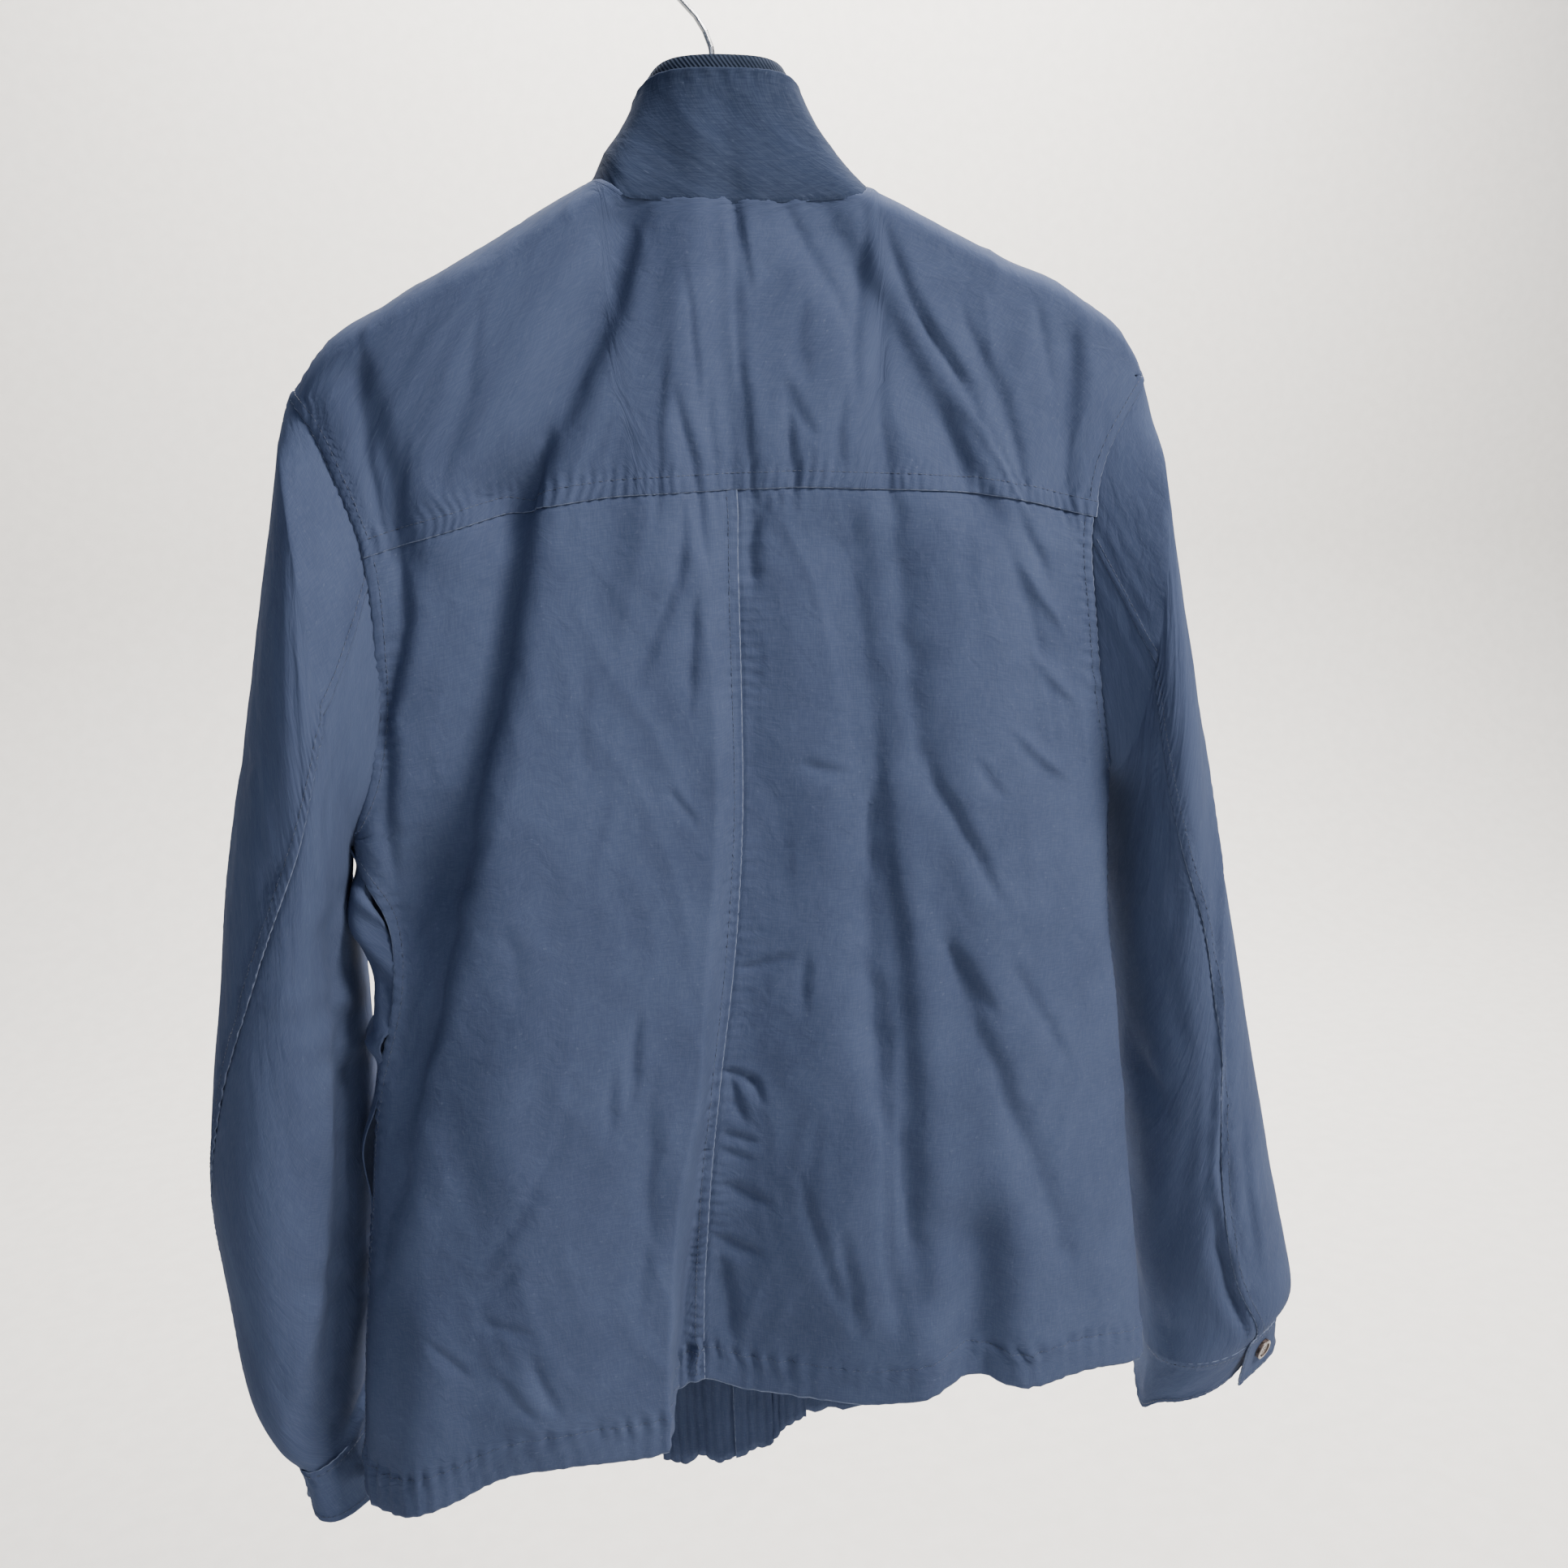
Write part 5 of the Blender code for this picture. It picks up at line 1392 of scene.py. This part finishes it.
# Antiqued brass: a warm metal browned in clouds, with the hairlines of its brushing.
brass, tree, shader = surface("antiqued_brass", Metallic=1.0)
place = add(tree, "TexCoord", out="Object")
hairs = noise(tree, place, 3000.0, 2.0, (1.0, 1.0, 0.1))
tarnish = noise(tree, place, 240.0, 4.0)
tree.links.new(ramp(tree, tarnish, (0.35, "4e3d22"), (0.7, "86693a")), shader.inputs["Base Color"])
tree.links.new(span(tree, hairs, 0.3, 0.7, 0.36, 0.5), shader.inputs["Roughness"])
bumped(tree, shader, hairs, 0.00003, 0.5)

for name in ("zip_slider", "zip_pull", "zip_box"):
    cover(name, brass)


def repeated(name, form, faces, places, finish):
    """One mesh of a small form at many places: each place is a matrix of 3 rows and 4 columns."""
    points = np.einsum("nij,kj->nki", places[:, :, :3], form) + places[:, None, :, 3]
    starts = len(form) * np.arange(len(places))[:, None, None]
    return meshed(name, points, (np.array(faces) + starts).reshape(-1, 4), finish)


# The teeth of one row are this far apart, and those of the other lie between them.
TOOTH_PITCH = 2.6 * MM
TOOTH_SIZE = (4.0 * MM, 2.2 * MM, 1.15 * MM)
TOOTH_ASIDE = 1.1 * MM
CHAIN_INSET = 2.4 * MM
BLOCK = np.array([(x, y, z) for x in (-0.5, 0.5) for y in (-0.5, 0.5) for z in (-0.5, 0.5)])
BLOCK_FACES = [(0, 1, 3, 2), (4, 6, 7, 5), (0, 4, 5, 1), (2, 3, 7, 6), (0, 2, 6, 4), (1, 5, 7, 3)]
chain_end, chain_top = (corner.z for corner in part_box("zip_chain"))
heights = np.arange(chain_top, chain_end, -TOOTH_PITCH / 2)
places = np.zeros((len(heights), 3, 4))
places[:, :, :3] = np.diag(TOOTH_SIZE)
places[:, :, 3] = front_point(front_middle(heights), heights, np.ones_like(heights))
places[:, 0, 3] += np.where(np.arange(len(heights)) % 2 == 0, TOOTH_ASIDE, -TOOTH_ASIDE)
places[:, 1, 3] += CHAIN_INSET
teeth = repeated("zip_teeth", BLOCK, BLOCK_FACES, places, brass)
soften = teeth.modifiers.new("rounded", "BEVEL")
soften.width, soften.segments = 0.25 * MM, 1
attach(teeth, "jacket")
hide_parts("zip_chain")

# -------------------------------------------------------------------------------
# Rows of stitches. Navy thread, one row beside each seam that lies on top and round each hem.
# -------------------------------------------------------------------------------

STITCH_PITCH = 3.2 * MM
STITCH_LENGTH = 2.5 * MM
THREAD_RADIUS = 0.26 * MM
STITCH_LIFT = 0.08 * MM

# Spun polyester-cotton thread: twisted, with a slight gloss. It is coloured a shade darker than the
# cloth: partly the thread's own navy and partly painted shade of the stitch holes and puckers.
thread, tree, shader = surface("navy_thread", Roughness=0.6, Sheen_Weight=0.2)
place = add(tree, "TexCoord", out="Object")
fuzz = noise(tree, place, 700.0, 2.0)
tree.links.new(ramp(tree, fuzz, (0.35, "323d55"), (0.65, "4a5670")), shader.inputs["Base Color"])
bumped(tree, shader, fuzz, 0.0001, 0.4)


def line_at(grid, edge, offset):
    """The line on a grid that runs beside an edge at some distance, between the grid's points."""
    away = edges_of(grid[..., :3])[edge][0]
    if edge in ("first", "last"):
        grid, away = grid.transpose(1, 0, 2), away.T
    if edge in ("bottom", "last"):
        grid, away = grid[::-1], away[::-1]
    i = np.clip((away < offset).sum(0) - 1, 0, len(away) - 2)
    k = np.arange(away.shape[1])
    share = (offset - away[i, k]) / (away[i + 1, k] - away[i, k])
    return grid[i, k] + (grid[i + 1, k] - grid[i, k]) * share[:, None]


def stitch_row(grid, flip, edge, offset, trim):
    """Places for the stitches of a row, each along the row and square to the cloth.

    The row lies at an offset from its edge, and stops short of both ends by a trim, in millimetres.
    """
    facing = normals(grid) * (-1 if flip else 1)
    line = line_at(np.concatenate([grid, facing], -1), edge, offset * MM)
    length = lengths(line[:, :3], 0)
    start = STITCH_PITCH / 2 + trim * MM
    at = np.arange(start, length[-1] - start, STITCH_PITCH)

    def spots(where):
        return np.stack([np.interp(where, length, line[:, k]) for k in range(6)], -1)

    start, end = spots(at - STITCH_LENGTH / 2), spots(at + STITCH_LENGTH / 2)
    reach = end[:, :3] - start[:, :3]
    out = start[:, 3:] + end[:, 3:]
    out /= np.linalg.norm(out, axis=1, keepdims=True)
    unit = reach / np.linalg.norm(reach, axis=1, keepdims=True)
    across = np.cross(out, unit)
    middle = (start[:, :3] + end[:, :3]) / 2 + out * STITCH_LIFT
    return np.stack([reach, across, np.cross(unit, across), middle], -1)


# A stitch is four rings of six points, narrow at both ends: each ring's place and size.
STITCH_SIDES = 6
turns = np.linspace(0, 2 * math.pi, STITCH_SIDES, endpoint=False)
disc = THREAD_RADIUS * np.stack([0 * turns, np.cos(turns), np.sin(turns)], -1)
stitch_rings = ((-0.5, 0.25), (-0.28, 0.9), (0.28, 0.9), (0.5, 0.25))
STITCH = np.concatenate([disc * size + np.array([x, 0, 0]) for x, size in stitch_rings])
ring = np.arange(STITCH_SIDES)
beyond = np.roll(ring, -1)
band = np.stack([ring, beyond, beyond + STITCH_SIDES, ring + STITCH_SIDES], -1)
STITCH_FACES = np.concatenate([band + STITCH_SIDES * k for k in range(3)])

rows_of = {
    "yoke": [
        (yoke_points, True, "bottom", 9, 0),
        (yoke_points, True, "first", 6, 10),
        (yoke_points, True, "last", 6, 10),
    ],
    "back": [
        (back_points["left"], True, "first", 6, 4),
        *((back_points[side], side == "left", "last", 6, 4) for side in SIDES),
        *((back_points[side], side == "left", "bottom", HEM, 0) for side in SIDES),
    ],
    "front": [
        (front_points[side], side == "right", edge, offset, 0)
        for side in SIDES
        for edge, offset in (("first", 7), ("bottom", HEM))
    ],
    "sleeves": [
        (sleeve_points[side, "top"], side == "right", edge, 7, 10)
        for side in SIDES
        for edge in ("first", "last")
    ],
    "cuffs": [
        (cuff_points[side], side == "left", edge, 4, 0)
        for side in SIDES
        for edge in ("top", "bottom")
    ],
}
for name, rows in rows_of.items():
    places = np.concatenate([stitch_row(*row) for row in rows])
    piece = repeated("stitches_" + name, STITCH, STITCH_FACES, places, thread)
    piece.data.shade_smooth()
    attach(piece, "jacket")

# -------------------------------------------------------------------------------
# Room and light. A pale wall that curves into a pale floor, a soft warm window on the wearer's
# right, a weak cool one behind the back, and a wide one that lights the wall.
# -------------------------------------------------------------------------------

# Matt painted plaster: pale, with faint rolled texture.
plaster, tree, shader = surface("pale_plaster", Roughness=0.9)
place = add(tree, "TexCoord", out="Object")
rolled = noise(tree, place, 30.0, 3.0)
tree.links.new(ramp(tree, rolled, (0.3, "e4e2de"), (0.7, "e9e7e3")), shader.inputs["Base Color"])

FLOOR_Z, FLOOR_END = -1.7, 3.4
WALL_Y, WALL_TOP = -3.4, 3.0
ROOM_HALF_WIDTH = 4
# The room's outline in y and z: the floor, a quarter circle of a metre, and the wall.
swing = np.linspace(0, math.pi / 2, 16)
profile = np.concatenate([
    [[FLOOR_END, FLOOR_Z]],
    np.stack([WALL_Y + 1 - np.sin(swing), FLOOR_Z + 1 - np.cos(swing)], -1),
    [[WALL_Y, WALL_TOP]],
])
across = np.linspace(-ROOM_HALF_WIDTH, ROOM_HALF_WIDTH, 9)
grid = np.stack([np.tile(across, (len(profile), 1)), *(profile.T[..., None] + 0 * across)], -1)
room = meshed("room", grid, quads(grid), plaster)
room.data.shade_smooth()
room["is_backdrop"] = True

world = bpy.data.worlds.new("daylight")
bpy.context.scene.world = world
world.use_nodes = True
sky = world.node_tree.nodes["Background"].inputs
sky["Color"].default_value = linear("ccd8ee")
sky["Strength"].default_value = 0.26


def window(name, place, size, power, colour, aim=(0, 0, -0.45)):
    """A soft square light at a place, which faces the middle of the jacket or another point."""
    light = bpy.data.lights.new(name, "AREA")
    light.shape, light.size, light.energy = "SQUARE", size, power
    light.color = linear(colour)[:3]
    made = bpy.data.objects.new(name, light)
    bpy.context.scene.collection.objects.link(made)
    made.location = place
    made.visible_camera = False
    made.rotation_euler = (Vector(aim) - Vector(place)).to_track_quat("-Z", "Y").to_euler()


window("window_right", (-1.6, 1.3, 1.35), 0.9, 112, "fff6ee")
window("window_behind", (0.5, 2.2, 0.9), 1.4, 11, "eef2ff")
window("window_wall", (-0.9, -2.0, 1.9), 3.0, 470, "fffaf4", (-0.6, -3.0, -1.2))

# The camera stands behind the back, turned aside, tipped down and rolled by these degrees.
CAMERA_PLACE = (0.1686, 0.8548, -0.245)
CAMERA_LENS = 35.01
HEADING, PITCH, ROLL = (math.radians(a) for a in (12.8, 14.35, 1.6))
level = math.cos(PITCH)
ahead = Vector((-math.sin(HEADING) * level, -math.cos(HEADING) * level, -math.sin(PITCH)))
camera = bpy.data.objects.new("camera", bpy.data.cameras.new("camera"))
bpy.context.scene.collection.objects.link(camera)
camera.location = CAMERA_PLACE
turn = ahead.to_track_quat("-Z", "Y").to_matrix() @ Matrix.Rotation(-ROLL, 3, "Z")
camera.rotation_euler = turn.to_euler()
camera.data.sensor_width, camera.data.lens = 36.0, CAMERA_LENS
camera.data.clip_start, camera.data.clip_end = 0.05, 20
bpy.context.scene.camera = camera

low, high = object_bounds()
